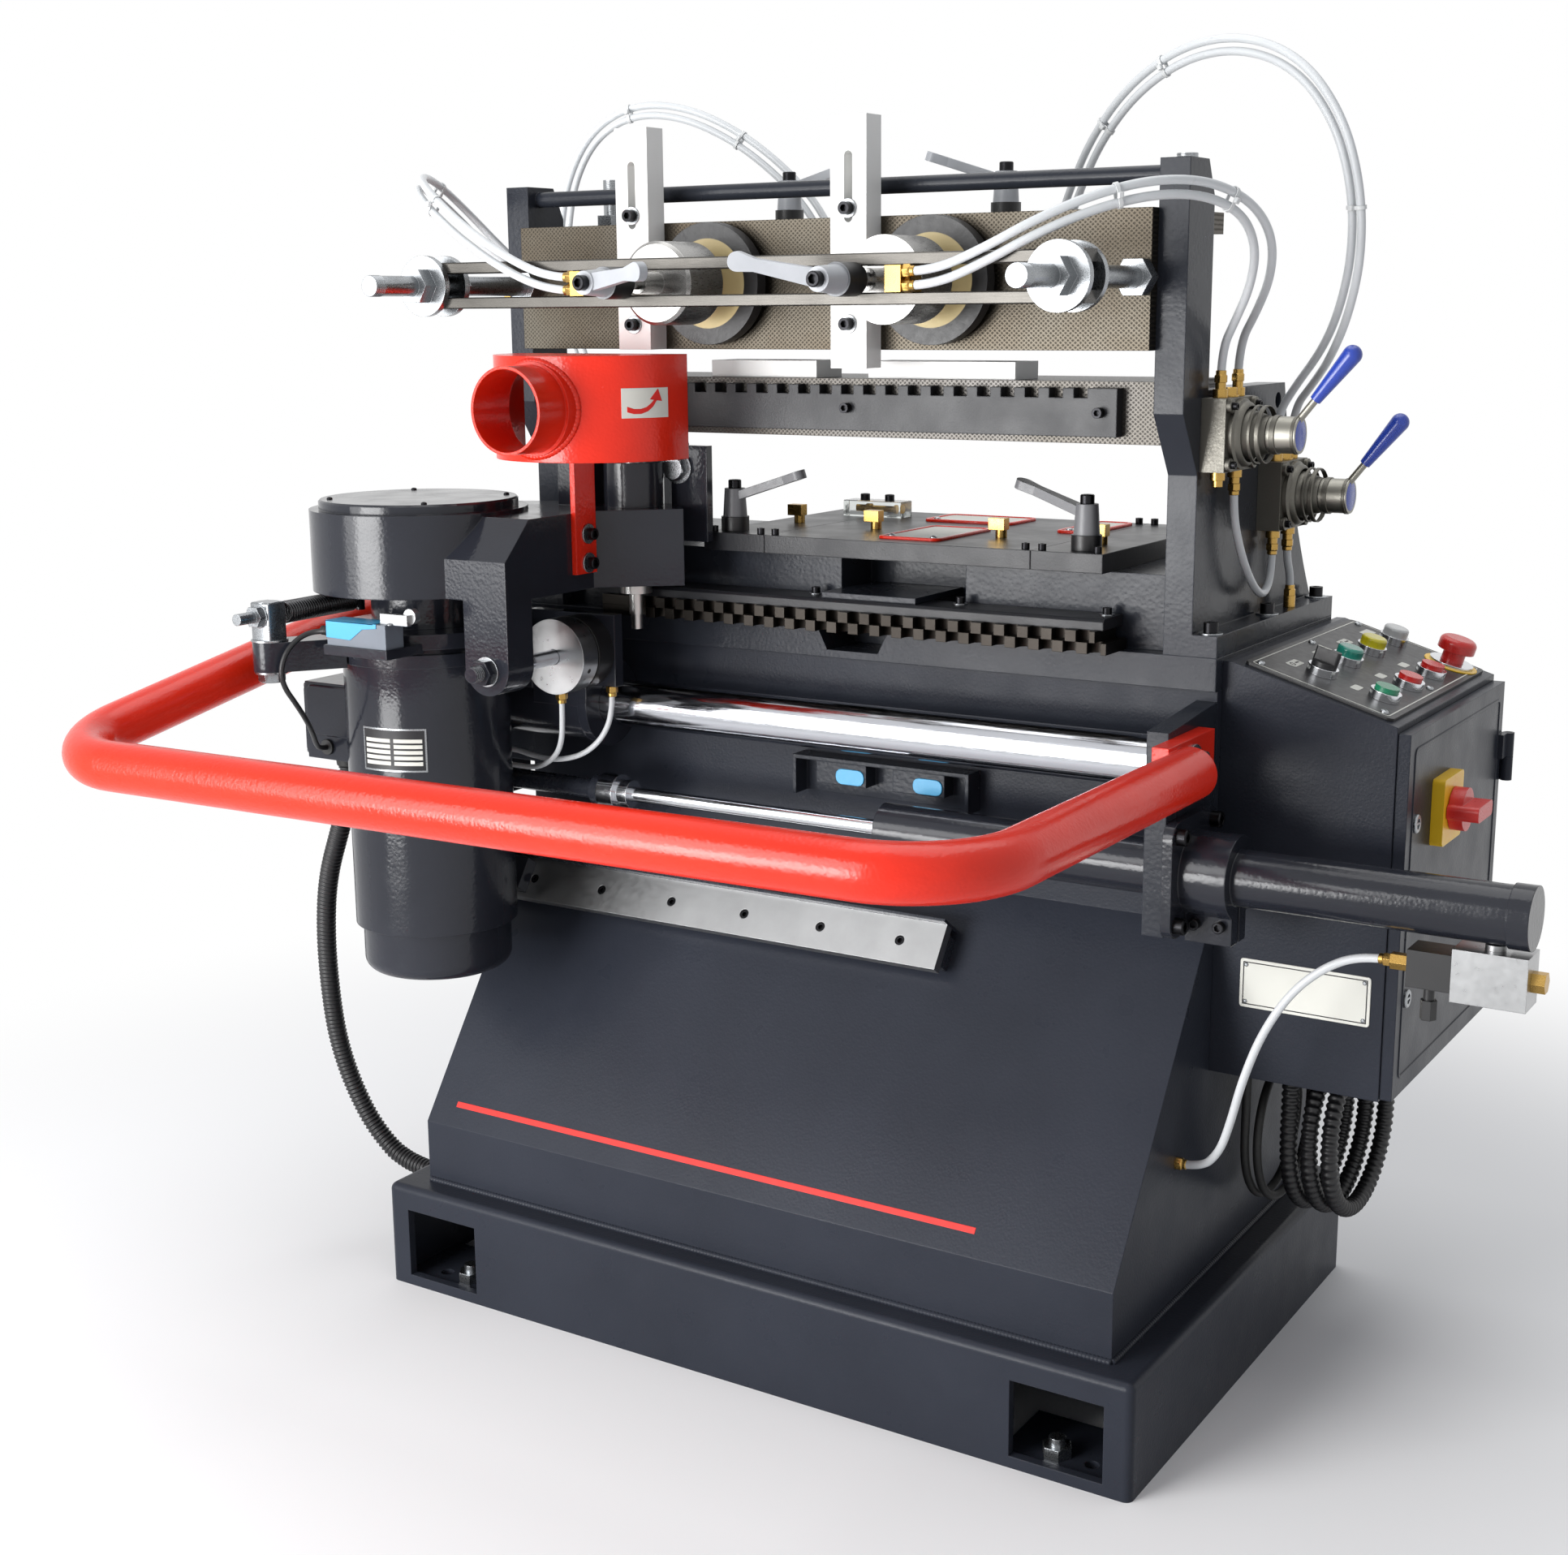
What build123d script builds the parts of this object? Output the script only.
from build123d import *
import math
import os

os.makedirs("parts", exist_ok=True)

# Dovetail machine for drawer corners. Millimetres, +X right along the guide bar, +Y to the back, +Z up.
# The origin is on the floor, under the centre of the plinth.

# Running clearances
turn_gap = 0.3
slide_gap = 0.3
seat_gap = 0.6

# Plinth
plinth_length = 900
plinth_depth = 590
plinth_height = 117
plinth_wall = 10
plinth_edge = 8
pocket_width = 96
pocket_height = 78
pocket_floor = 12
pocket_inset = 28
floor_plate_length = 130
floor_plate_depth = 90
floor_plate_thickness = 8
anchor_hole_radius = 7
anchor_spacing_x = 794
anchor_spacing_y = 524
foot_bolt_radius = 8
foot_bolt_inset = 36
foot_bolt_length = 27
foot_nut_flats = 26
foot_nut_height = 11

# Column and table slab
column_half_length = 415
column_wall = 12
column_toe_front = -264
column_back = 264
column_toe_height = 70
slope_top = 487
column_front = -54
table_front = -60
table_back = 272
table_top = 747
table_thickness = 32
notch_left = -25
notch_right = 60
notch_drop = 24
notch_taper = 12
notch_depth = 60

# Towers and the bars between them
tower_thickness = 29
flange_width = 54
tower_inner = column_half_length - flange_width
tower_outer = tower_inner + tower_thickness
flange_thickness = 21
web_front = -60
post_front = -99
post_depth = 60
post_low = 975
post_step_low = 917
post_back_chamfer = 32
tower_top = 1201
web_top = 995
web_back_top = 168
tower_hole_radius = 8
tower_hole_inset = 18
tower_hole_drop = 17
web_hollow_y = 8
web_hollow_z = 12
tie_bar_radius = 8
tie_bar_drop = 13
tie_bar_setback = 20

# Clamp beam
beam_front = -113
beam_bottom = 1032
beam_top = 1158
beam_plate = 30
beam_top_plate = 20
beam_back = 60
beam_slot_length = 110
beam_slot_radius = 8
down_clamp_y = 21

# Shelf and backing comb
shelf_front = -75
shelf_back = 60
shelf_bottom = 945
shelf_top = 1003
backing_left = -262
backing_right = 320
backing_thickness = 13
backing_bottom = 952
backing_top = 997
backing_slot_pitch = 25.4
backing_slot_width = 14
backing_slot_drop = 9
backing_screw_inset = 17

# White fences
fence_width = 40
fence_thickness = 28
fence_left_x = -213
fence_right_x = 42
fence_left_bottom = 1032
fence_right_bottom = 1015
fence_top = 1251
fence_slot_radius = 4.5
fence_slot_length = 66
shelf_pad_height = 17
shelf_pad_depth = 50
shelf_pad_setback = 5
shelf_pad_left = (-146, -18)
shelf_pad_right = (43, 206)

# Front rail and its studs
rail_overhang = 11
rail_half_length = tower_inner + rail_overhang
rail_depth = 24
rail_chamfer = 1
rail_centre_y = -266
rail_bar_height = 11
rail_gap = 23
rail_centre_z = 1097
rail_stud_inset = 22
rail_stud_x = rail_half_length - rail_stud_inset
rail_stud_radius = 10
rail_stud_tip = -362
washer_radius = 30
washer_thickness = 7
stud_nut_flats = 32
stud_nut_height = 16
beam_stud_inset = 23
beam_stud_x = tower_inner - beam_stud_inset
beam_stud_top = 1212
beam_stud_depth = 60

# Clamp cylinders and their pads
clamp_left_x = -106
clamp_right_x = 148
front_cylinder_radius = 40
front_cap_y = -224
front_cap_chamfer = 3
rail_neck_gap = 1
pad_ring_radius = 60
pad_ring_thickness = 15
pad_ring_inset = 22
pad_gap = 7
pad_travel = 25
pad_stop_gap = 6
clamp_rod_radius = 12
clamp_rod_hold = 14
clamp_end_wall = 8
down_cylinder_radius = 30
down_cylinder_length = 66
down_pad_radius = 27
down_pad_thickness = 10
down_pad_bottom = 1040
down_travel = 30

# Ratchet levers
lever_stud_radius = 6
lever_hub_radius = 13
lever_hub_height = 30
lever_bush_radius = 15
lever_bush_height = 30
lever_arm_length = 88
lever_arm_root = 17
lever_arm_tip = 21
lever_arm_thickness = 9
lever_arm_rise = 18
lever_hub_taper = 0.85
lever_arm_drop = 14
lever_waist_place = 0.72
lever_waist_width = 0.68
lever_tip_round = 8.4
lever_bore_extra = 1
rail_lever_rise_left = 0.12
rail_lever_rise_right = 0.22
beam_lever_turn = 12
table_lever_turn = 8

# Table block, plates and combs
block_front = -38
block_back = 232
plate_bottom = 820
plate_thickness = 19
plate_front = -60
plate_back = 236
plate_edges = (-167, -90, 220, 297)
plate_joint = 0.8
recess_left = -8
recess_right = 138
recess_depth = 62
tongue_left = -8
tongue_right = 102
tongue_front = -78
tongue_thickness = 6
table_lever_y = -30
table_lever_left_x = -146
table_lever_right_x = 266
comb_pitch = 25.4
comb_gap = 14
comb_gap_depth = 15
comb_front = -93
comb_back = -44
comb_thickness = 11
comb_left = -280
upper_comb_right = 305
lower_comb_right = 317
clamp_bar_left = -290
clamp_bar_right = 310
clamp_bar_front = -85
clamp_bar_back = -40
clamp_bar_thickness = 11
clamp_bar_edge = 3

# Guide bar and its brackets
guide_radius = 25
guide_y = -110
guide_z = 654
guide_left = -519
guide_chamfer = 2
bracket_thickness = 21
bracket_front = -172
bracket_bottom = 503
bracket_top = 700
bracket_top_slope = 10
left_bracket_top = 772
outrigger_back = 40
outrigger_bottom = 560
outrigger_top = 740

# Guard bar
guard_radius = 24.15
guard_wall = 3
guard_front = -627
guard_z = 665
guard_bend = 90
guard_right_end = -190
guard_left_end_y = -150
guard_left_end_z = 745
guard_left_low_y = -535
guard_left_low_z = 672
guard_plate = 6
guard_pad = 10
guard_plate_lap = 20
guard_right_plate = 90
guard_left_plate = 80

# Lower rail on the sloping front
lower_rail_left = -column_half_length
lower_rail_right = 156
lower_rail_height = 49
lower_rail_thickness = 12
lower_mount_thickness = 15
lower_mount_height = 34
lower_rail_z = 425
rail_lip_reach = 8
rail_lip_thickness = 3
rail_screw_count = 6
rail_screw_radius = 5
rail_screw_sink = 8.6

# Feed cylinder
feed_y = -125
feed_z = 557
feed_barrel_radius = 27
feed_bore_radius = 20
feed_barrel_left = 94
feed_barrel_right = 716
feed_gland = 16
feed_cap_length = 19
feed_cap_step = 2
feed_flange = 110
feed_flange_thickness = 10
feed_flange_corner = 16
feed_sleeve_radius = 40
feed_sleeve_length = 45
feed_ear_half = 18
feed_ear_drop = 22
feed_split_half = 2
feed_split_wall = 1
feed_rod_radius = 8
feed_rod_visible = 315
feed_piston_length = 24
feed_piston_gap = 6
collar_length = 50
collar_radius = 20
collar_low_step = 4
collar_high_step = 5
collar_low_share = 0.26
collar_middle_share = 0.42
tie_tube_radius = 11
exhaust_x = 703
exhaust_length = 65
exhaust_depth = 38
exhaust_height = 48
exhaust_neck = 5
exhaust_neck_radius = 9
flow_x = 648
flow_size = 34
flow_stem = 14
flow_stem_radius = 5
flow_knob = 18
flow_knob_flats = 13

# Stop switches on the column face
switch_plate_left = -44
switch_plate_right = 165
switch_plate_bottom = 570
switch_plate_top = 612
switch_plate_reach = 26
switch_plate_sheet = 4
switch_body_width = 60
switch_body_height = 24
switch_setback = 2
switch_shares = (0.28, 0.72)

# Carriage
hub_left = -480
hub_right = -257
hub_radius = 44
hub_flange_radius = 48
hub_flange_length = 12
pivot_x = -399
pivot_y = -250
saddle_radius = 95
saddle_bottom = 733
saddle_top = 749
neck_radius = 55
neck_top = 787
journal_radius = 50
journal_top = 805
journal_bore = 30
web_left = -470
web_right = -330
web_rear = -98
web_bottom = 670
leg_left = -440
leg_right = -395
leg_front = -150
leg_back = -120
leg_bottom = 456
shoe_thickness = 16
shoe_length = 90
shoe_inset = 6
web_motor_gap = 4
bridge_rise = 6
boss_radius = 14
boss_length = 25
motor_pocket_gap = 2
spring_arm_root = 1.5
spring_post_x = -487
spring_post_y = -389
spring_arm_bottom = 710
spring_arm_top = 741
spring_arm_radius = 18
post_height = 41
post_radius = 12
eye_drop = 14
eye_radius = 6
eye_back = 14
eye_front = 44
eye_nut_front = 10
eye_nut_flats = 20
eye_nut_length = 12
spring_pin_x = 96
spring_pin_y = 5
spring_pin_radius = 5
spring_pin_length = 32
ledge_left = -424
ledge_right = -338
ledge_front = -376
ledge_top = 740
ledge_thickness = 10
limit_inset = 4
limit_setback = 2
limit_depth = 26
limit_height = 25
limit_lever_lap = 14
limit_lever_reach = 22
limit_lever_front = 8
limit_lever_depth = 6
limit_lever_height = 11
roller_reach = 20
roller_rise = 34
roller_radius = 8
roller_width = 8

# Motor
motor_radius = 87.5
motor_bottom = 425
motor_top = 727
motor_cap_radius = 80
motor_cap_bottom = 372
motor_rim_radius = 91
motor_rim_height = 14
motor_shaft_radius = 14
motor_spigot_step = 4
motor_cap_round = 14
shaft_hold = 40
shaft_sink = 30
terminal_lap = 30
terminal_left = -530
terminal_front = -300
terminal_back = -222
terminal_bottom = 598
terminal_top = 682

# Swing cylinder
swing_x = -257
swing_z = 717
swing_radius = 40
swing_front = -211
swing_cap_length = 25
swing_back = -157
swing_bore = 30
swing_barrel_step = 1
swing_back_wall = 4
swing_front_wall = 10
swing_piston_gap = 2
swing_piston_length = 10
swing_rod_radius = 8
swing_rod_tip = -262
swing_plate_back = -143
swing_plate_right = -217
swing_plate_bottom = 680
swing_plate_top = 757

# Swinging arm
spindle_x = -225
spindle_y = -105
arm_top = 868
housing_radius = 114
housing_top = 872
housing_bore = 96
housing_floor = 13
cover_radius = 104
cover_thickness = 10
arm_front = -318
arm_left = -345
arm_right = -229
arm_chamfer = 40
arm_leg_left = -285
arm_leg_thickness = 40
arm_leg_bottom = 692
arm_back = -67
block_half_width = 48
block_reach = 50
belt_channel_width = 84
belt_channel_bottom = 806
belt_channel_top = 858
cartridge_radius = 32
cartridge_top = 915
upright_left = -196
upright_right = -150
upright_thickness = 10
upright_top = 931
post_left = -304
post_right = -262
leg_stud_radius = 8
leg_stud_tip = -343
leg_nut_flats = 24
leg_nut_height = 12
pad_stud_radius = 9
housing_lap_angle = 120
housing_lap_share = 0.6
upright_lap = 38
upright_round = 18
post_depth_on_arm = 30
channel_wide = 0.85
channel_front = 0.42
channel_rear = 0.37
channel_gap = 3
cover_chamfer = 2
pad_stud_length = 14.4

# Belt, pulleys and spindle
motor_pulley_radius = 62
spindle_pulley_radius = 24
pulley_bottom = 815
pulley_top = 850
shaft_end = 6
belt_inset = 3
belt_thickness = 4
spindle_radius = 14
nose_radius = 17
nose_bottom = 775
pin_radius = 8
pin_tip_radius = 6.25
pin_step = 752
pin_bottom = 736
collet_top = 962
cutter_top = 1012
collet_radius = 12
cutter_low_radius = 6
cutter_high_radius = 9

# Dust hood
hood_x = -234
hood_y = -150
hood_radius = 108
hood_bottom = 923
hood_top = 1028
hood_back = -144
hood_wall = 3
port_radius = 43.5
port_z = 976
port_front = -303
port_root_radius = 47
port_root_front = -262
strap_front = -210
strap_back = -176
strap_thickness = 6
strap_bottom = 805
hood_hole_gap = 8

# Control box
box_width = 169
box_right = column_half_length + box_width
box_front = -43
box_back = 290
box_bottom = 334
box_top = 743
box_slope_end = 691
box_flat_top = 9
box_slope_start = column_half_length + box_flat_top
box_wall = 4
door_thickness = 12
door_flange = 14
door_lift = 2
door_drop = 6
door_margin = 2
hinge_low_rise = 60
hinge_high_drop = 110
panel_thickness = 3
panel_margin = 9
panel_corner = 6
hinge_radius = 6
hinge_leaf = 25
hinge_setback = 2
hinge_sheet = 4
hinge_box_leaf = 30
hinge_door_leaf = 18
hinge_lap = 2
bezel_radius = 15
bezel_height = 8
cap_radius = 11.5
cap_depth = 5
cap_rise = 4
press_travel = 4
stop_bezel_radius = 22.5
lamp_inset = 2
lamp_height = 9
lamp_round = 3
grip_length = 25
grip_width = 7
grip_height = 17
grip_corner = 3
stop_stem = 12
stop_head_rise = 8
stop_head_radius = 19
stop_head_height = 13
stop_head_round = 6
button_row_lamps = 66
button_row_push = 130
button_first_y = 25
button_pitch = 75
disconnect_y = 70
disconnect_z = 600
disconnect_plate_size = 65
disconnect_plate_thickness = 12
disconnect_knob_radius = 21
disconnect_knob_length = 30
disconnect_corner = 5
disconnect_pin_radius = 4
disconnect_disc_share = 0.45
disconnect_grip_length = 50
disconnect_grip_width = 15

# Hand valves on the right tower
valve_body_reach = 24
valve_width = 76
valve_height = 68
valve_upper = (-18, 954)
valve_lower = (138, 886)
valve_head_radius = 26
valve_head_length = 30
valve_knob_radius = 17
valve_knob_length = 28
valve_lever_length = 62
valve_grip_radius = 9
valve_grip_length = 52
valve_pin_radius = 5
valve_lean = 38.5
valve_stem_radius = 3.5
valve_stem_place = 0.55
valve_grip_lap = 0.4
valve_grip_taper = 0.6

# Air fittings and screws
fitting_radius = 6
fitting_step = 1
fitting_nut = 8
fitting_neck = 6
table_stem = 12
table_head_low = 8
table_head_high = 20
table_head_reach = 6
supply_reach = 14
exhaust_plug_flats = 17
exhaust_plug = 12
flow_inlet_flats = 14
flow_inlet = 18
rail_fitting_left = -150
rail_fitting_right = 196
down_fitting_z = 1105
left_tower_fittings = [(-68, 1090), (60, 960)]
tower_fitting_reach = 24
rail_fitting_half = 8
rail_fitting_reach = 14
rail_fitting_y = -285
down_fitting_reach = 12
down_fitting_radius = 11
tower_fitting_half = 12
supply_y = 168
valve_elbow_y = 22
table_elbows = [(-128, 72), (-16, 48), (141, 34), (258, 24)]
screw_radius = 6
screw_head = 1.6
screw_socket = 0.8
flange_screw_radius = 7
flange_screw_inset = 12
flange_screw_front = 14
flange_screw_back = 18
plate_screw_radius = 4
plate_screw_inset = 9
plate_screw_margin = 8
clamp_screw_radius = 4.5
clamp_screw_setback = 9
clamp_screws = (-30, 140, 300)
fence_screw_low = 25
fence_screw_high = 7
backing_screw_radius = 5

# Air tubes, conduit and spring
tube_radius = 4
corner_share = 0.45
pair_step = 12
swing_tube_radius = 3
switch_cable_radius = 2.8
conduit_radius = 9.5
conduit_rib = 1.6
conduit_bore = 7
conduit_pitch = 5
conduit_x = -512
conduit_y = -258
coil_inset = 63
coil_x = column_half_length + coil_inset
coil_y = 95
coil_z = 240
coil_radius = 74
coil_step = 21
coil_turns = 2.5
coil_straight = 40
coil_hose_radius = 7.5
coil_hose_bore = 5.5
coil_pitch = 7.5
loop_inset = 22
loop_x = column_half_length + loop_inset
loop_y = 78
loop_z = 240
loop_radius = 70
loop_step = 13
loop_turns = 1.5
loop_cable_radius = 4.5
spring_wire = 1.5
spring_radius = 10.5
spring_turns = 28
spring_lead = 9


def block(x, y, z, mode=Mode.ADD):
    """A box between a low and a high value along each axis."""
    with Locations(((x[0] + x[1]) / 2, (y[0] + y[1]) / 2, (z[0] + z[1]) / 2)):
        Box(x[1] - x[0], y[1] - y[0], z[1] - z[0], mode=mode)


def facing_x(x, y, z):
    """A plane at a point, with its normal along +X."""
    return Plane(origin=(x, y, z), x_dir=(0, 1, 0), z_dir=(1, 0, 0))


def facing_front(x, y, z):
    """A plane at a point, with its normal along -Y, towards the front."""
    return Plane(origin=(x, y, z), x_dir=(1, 0, 0), z_dir=(0, -1, 0))


def facing_up(x, y, z):
    """A plane at a point, with its normal along +Z."""
    return Plane(origin=(x, y, z))


def rod(plane, radius, length, mode=Mode.ADD):
    """A round bar that starts on a plane and runs along its normal."""
    with BuildSketch(plane) as profile:
        Circle(radius)
    extrude(profile.sketch, amount=length, mode=mode)


def ring(plane, outer, inner, length):
    """A round tube that starts on a plane and runs along its normal."""
    with BuildSketch(plane) as profile:
        Circle(outer)
        Circle(inner, mode=Mode.SUBTRACT)
    extrude(profile.sketch, amount=length)


def cone(plane, low_radius, high_radius, length):
    """A round taper that starts on a plane and runs along its normal."""
    with BuildSketch(plane) as low_end:
        Circle(low_radius)
    with BuildSketch(plane.offset(length)) as high_end:
        Circle(high_radius)
    loft([low_end.sketch, high_end.sketch])


def hexagon(plane, flats, length, mode=Mode.ADD):
    """A hexagonal bar, such as a nut or a screw's socket."""
    with BuildSketch(plane) as profile:
        RegularPolygon(flats / 2, 6, major_radius=False)
    extrude(profile.sketch, amount=length, mode=mode)


def nut(plane, flats, bore, length):
    """A nut with its hole."""
    with BuildSketch(plane) as profile:
        RegularPolygon(flats / 2, 6, major_radius=False)
        Circle(bore, mode=Mode.SUBTRACT)
    extrude(profile.sketch, amount=length)


def outline(plane, points, length, mode=Mode.ADD, both=False):
    """A closed straight-sided outline, extruded."""
    with BuildSketch(plane) as profile:
        with BuildLine():
            Polyline(*points, close=True)
        make_face()
    extrude(profile.sketch, amount=length, both=both, mode=mode)


def cap_screw(plane, radius):
    """A cap screw's head on its seat, with the socket in it."""
    socket = screw_socket * radius
    rod(plane, radius, screw_head * radius)
    hexagon(plane.offset(screw_head * radius), radius, -socket, Mode.SUBTRACT)


def turned(direction, angle):
    """A direction turned in plan by an angle in degrees."""
    return Vector(*direction).rotate(Axis.Z, angle)


# Plinth: a folded box, open below, with a pocket at each end of the front and the back for the feet
plinth_x = plinth_length / 2
plinth_y = plinth_depth / 2
pocket_x = plinth_x - pocket_inset - pocket_width / 2
foot_x = anchor_spacing_x / 2 - foot_bolt_inset
foot_y = anchor_spacing_y / 2

with BuildPart() as plinth:
    block((-plinth_x, plinth_x), (-plinth_y, plinth_y), (0, plinth_height))
    fillet(plinth.edges().filter_by(Axis.Z), plinth_edge)
    fillet(plinth.faces().sort_by(Axis.Z)[-1].edges(), plinth_edge)
    block(
        (-plinth_x + plinth_wall, plinth_x - plinth_wall),
        (-plinth_y + plinth_wall, plinth_y - plinth_wall),
        (0, plinth_height - plinth_wall),
        Mode.SUBTRACT,
    )
    for side_x in (-1, 1):
        for side_y in (-1, 1):
            block(
                sorted((side_x * (pocket_x - pocket_width / 2), side_x * (pocket_x + pocket_width / 2))),
                sorted((side_y * (plinth_y - 2 * plinth_wall), side_y * (plinth_y + plinth_wall))),
                (pocket_floor, pocket_floor + pocket_height),
                Mode.SUBTRACT,
            )
            inner_x = plinth_x - plinth_wall
            inner_y = plinth_y - plinth_wall
            block(
                sorted((side_x * (inner_x - floor_plate_length), side_x * inner_x)),
                sorted((side_y * (inner_y - floor_plate_depth), side_y * inner_y)),
                (0, floor_plate_thickness),
            )
    with GridLocations(anchor_spacing_x, anchor_spacing_y, 2, 2):
        Cylinder(anchor_hole_radius, 6 * floor_plate_thickness, mode=Mode.SUBTRACT)
    with GridLocations(2 * foot_x, 2 * foot_y, 2, 2):
        Cylinder(foot_bolt_radius + slide_gap, 6 * floor_plate_thickness, mode=Mode.SUBTRACT)
plinth.part.label = "plinth"
export_step(plinth.part, "parts/plinth.step")

# Column: a welded shell with a sloping front
slab_bottom = table_top - table_thickness
toe_top = plinth_height + column_toe_height
slope_run = column_front - column_toe_front
slope_rise = slope_top - toe_top
slope_length = math.hypot(slope_run, slope_rise)
slope_up = (slope_run / slope_length, slope_rise / slope_length)
column_profile = [
    (column_toe_front, plinth_height),
    (column_toe_front, toe_top),
    (column_front, slope_top),
    (column_front, slab_bottom),
    (column_back, slab_bottom),
    (column_back, plinth_height),
]
slope_inset = column_wall * math.tan(math.atan2(slope_run, slope_rise) / 2)
column_hollow = [
    (column_toe_front + column_wall, plinth_height),
    (column_toe_front + column_wall, toe_top - slope_inset),
    (column_front + column_wall, slope_top - slope_inset),
    (column_front + column_wall, slab_bottom),
    (column_back - column_wall, slab_bottom),
    (column_back - column_wall, plinth_height),
]
with BuildPart() as column:
    outline(Plane.YZ, column_profile, column_half_length, both=True)
    outline(Plane.YZ, column_hollow, column_half_length - column_wall, Mode.SUBTRACT, both=True)
column.part.label = "column"
export_step(column.part, "parts/column.step")

# Table slab with the chip notch in its front edge
notch_profile = [
    (notch_left, table_top),
    (notch_right, table_top),
    (notch_right - notch_taper, table_top - notch_drop),
    (notch_left + notch_taper, table_top - notch_drop),
]
with BuildPart() as table_slab:
    block((-column_half_length, column_half_length), (table_front, table_back), (slab_bottom, table_top))
    outline(Plane.XZ.offset(-table_front), notch_profile, -notch_depth, Mode.SUBTRACT)

# Cast block on the slab, between the towers, with a recess and a tongue that holds the clamp bar down
clamp_bar_top = table_top + 2 * comb_thickness + clamp_bar_thickness
with BuildPart() as support_block:
    block((-tower_inner, tower_inner), (block_front, block_back), (table_top, plate_bottom))
    recess_back = block_front + recess_depth
    block((recess_left, recess_right), (block_front, recess_back), (table_top, plate_bottom), Mode.SUBTRACT)
    block(
        (tongue_left, tongue_right),
        (tongue_front, recess_back),
        (clamp_bar_top, clamp_bar_top + tongue_thickness),
    )
table = Compound(label="table", children=[table_slab.part, support_block.part])
export_step(table, "parts/table.step")

# Three top plates with the studs of their levers, and the bar that clamps the combs
with BuildPart() as table_plates:
    for left, right in zip(plate_edges[:-1], plate_edges[1:]):
        block(
            (left + plate_joint / 2, right - plate_joint / 2),
            (plate_front, plate_back),
            (plate_bottom, plate_bottom + plate_thickness),
        )
    for lever_x in (table_lever_left_x, table_lever_right_x):
        rod(
            facing_up(lever_x, table_lever_y, plate_bottom + plate_thickness),
            lever_stud_radius,
            lever_bush_height / 2 + lever_hub_height / 2,
        )
    with BuildSketch(facing_x(clamp_bar_left, 0, 0)):
        with BuildLine():
            Polyline(
                (clamp_bar_front, clamp_bar_top - clamp_bar_thickness),
                (clamp_bar_front, clamp_bar_top - clamp_bar_edge),
                (clamp_bar_front + clamp_bar_edge, clamp_bar_top),
                (clamp_bar_back, clamp_bar_top),
                (clamp_bar_back, clamp_bar_top - clamp_bar_thickness),
                close=True,
            )
        make_face()
    extrude(amount=clamp_bar_right - clamp_bar_left)
table_plates.part.label = "table_plates"
export_step(table_plates.part, "parts/table_plates.step")


def comb(right, bottom, shift):
    """A template comb: a strip with round-ended gaps in its front edge, shifted along X."""
    block((comb_left, right), (comb_front, comb_back), (bottom, bottom + comb_thickness))
    gap_count = int((right - comb_left - comb_pitch - shift) / comb_pitch)
    with BuildSketch(facing_up(0, 0, bottom)) as profile:
        for index in range(gap_count):
            gap_x = right - comb_pitch * (index + 1) + shift
            with Locations((gap_x, comb_front + comb_gap_depth / 2 - comb_gap / 4)):
                Rectangle(comb_gap, comb_gap_depth - comb_gap / 2)
            with Locations((gap_x, comb_front + comb_gap_depth - comb_gap / 2)):
                Circle(comb_gap / 2)
    extrude(profile.sketch, amount=comb_thickness, mode=Mode.SUBTRACT)


# Template combs: two rows, half a pitch apart, that the guide pin follows
with BuildPart() as lower_comb:
    comb(lower_comb_right, table_top, comb_pitch / 2)
with BuildPart() as upper_comb:
    comb(upper_comb_right, table_top + comb_thickness, comb_pitch / 2)
template_combs = Compound(label="template_combs", children=[lower_comb.part, upper_comb.part])
export_step(template_combs, "parts/template_combs.step")

# Towers: a foot flange, a web and a post on each side
flange_top = table_top + flange_thickness
tower_profile = [
    (web_front, flange_top),
    (web_front, post_step_low),
    (post_front, post_low),
    (post_front, tower_top),
    (post_front + post_depth - post_back_chamfer / 2, tower_top),
    (post_front + post_depth, tower_top - post_back_chamfer),
    (post_front + post_depth, web_top),
    (web_back_top, web_top),
]


def tower(side):
    """One tower: side is 1 on the right and -1 on the left."""
    inner = side * tower_inner
    outer = side * tower_outer
    flange_outer = side * (tower_inner + flange_width)
    with BuildSketch(Plane.YZ.offset(inner)) as profile:
        with BuildLine():
            front = Polyline(*tower_profile)
            back = ThreePointArc(
                (web_back_top, web_top),
                ((web_back_top + table_back) / 2 - web_hollow_y, (web_top + flange_top) / 2 - web_hollow_z),
                (table_back, flange_top),
            )
            Line(back @ 1, front @ 0)
        make_face()
    extrude(profile.sketch, amount=outer - inner)
    block(sorted((inner, flange_outer)), (web_front, table_back), (table_top, flange_top))
    hole_plane = facing_x(min(inner, outer), web_back_top - tower_hole_inset, web_top - tower_hole_drop)
    with BuildSketch(hole_plane) as profile:
        Circle(tower_hole_radius)
    extrude(profile.sketch, amount=tower_thickness, mode=Mode.SUBTRACT)


with BuildPart() as left_tower:
    tower(-1)

with BuildPart() as right_tower:
    tower(1)

# The tie bar runs between the tops of the posts and stays a solid of its own
with BuildPart() as tie_bar:
    rod(
        facing_x(-tower_inner, post_front + tie_bar_setback, tower_top - tie_bar_drop),
        tie_bar_radius,
        2 * tower_inner,
    )
towers = Compound(label="towers", children=[left_tower.part, right_tower.part, tie_bar.part])
export_step(towers, "parts/towers.step")

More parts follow.
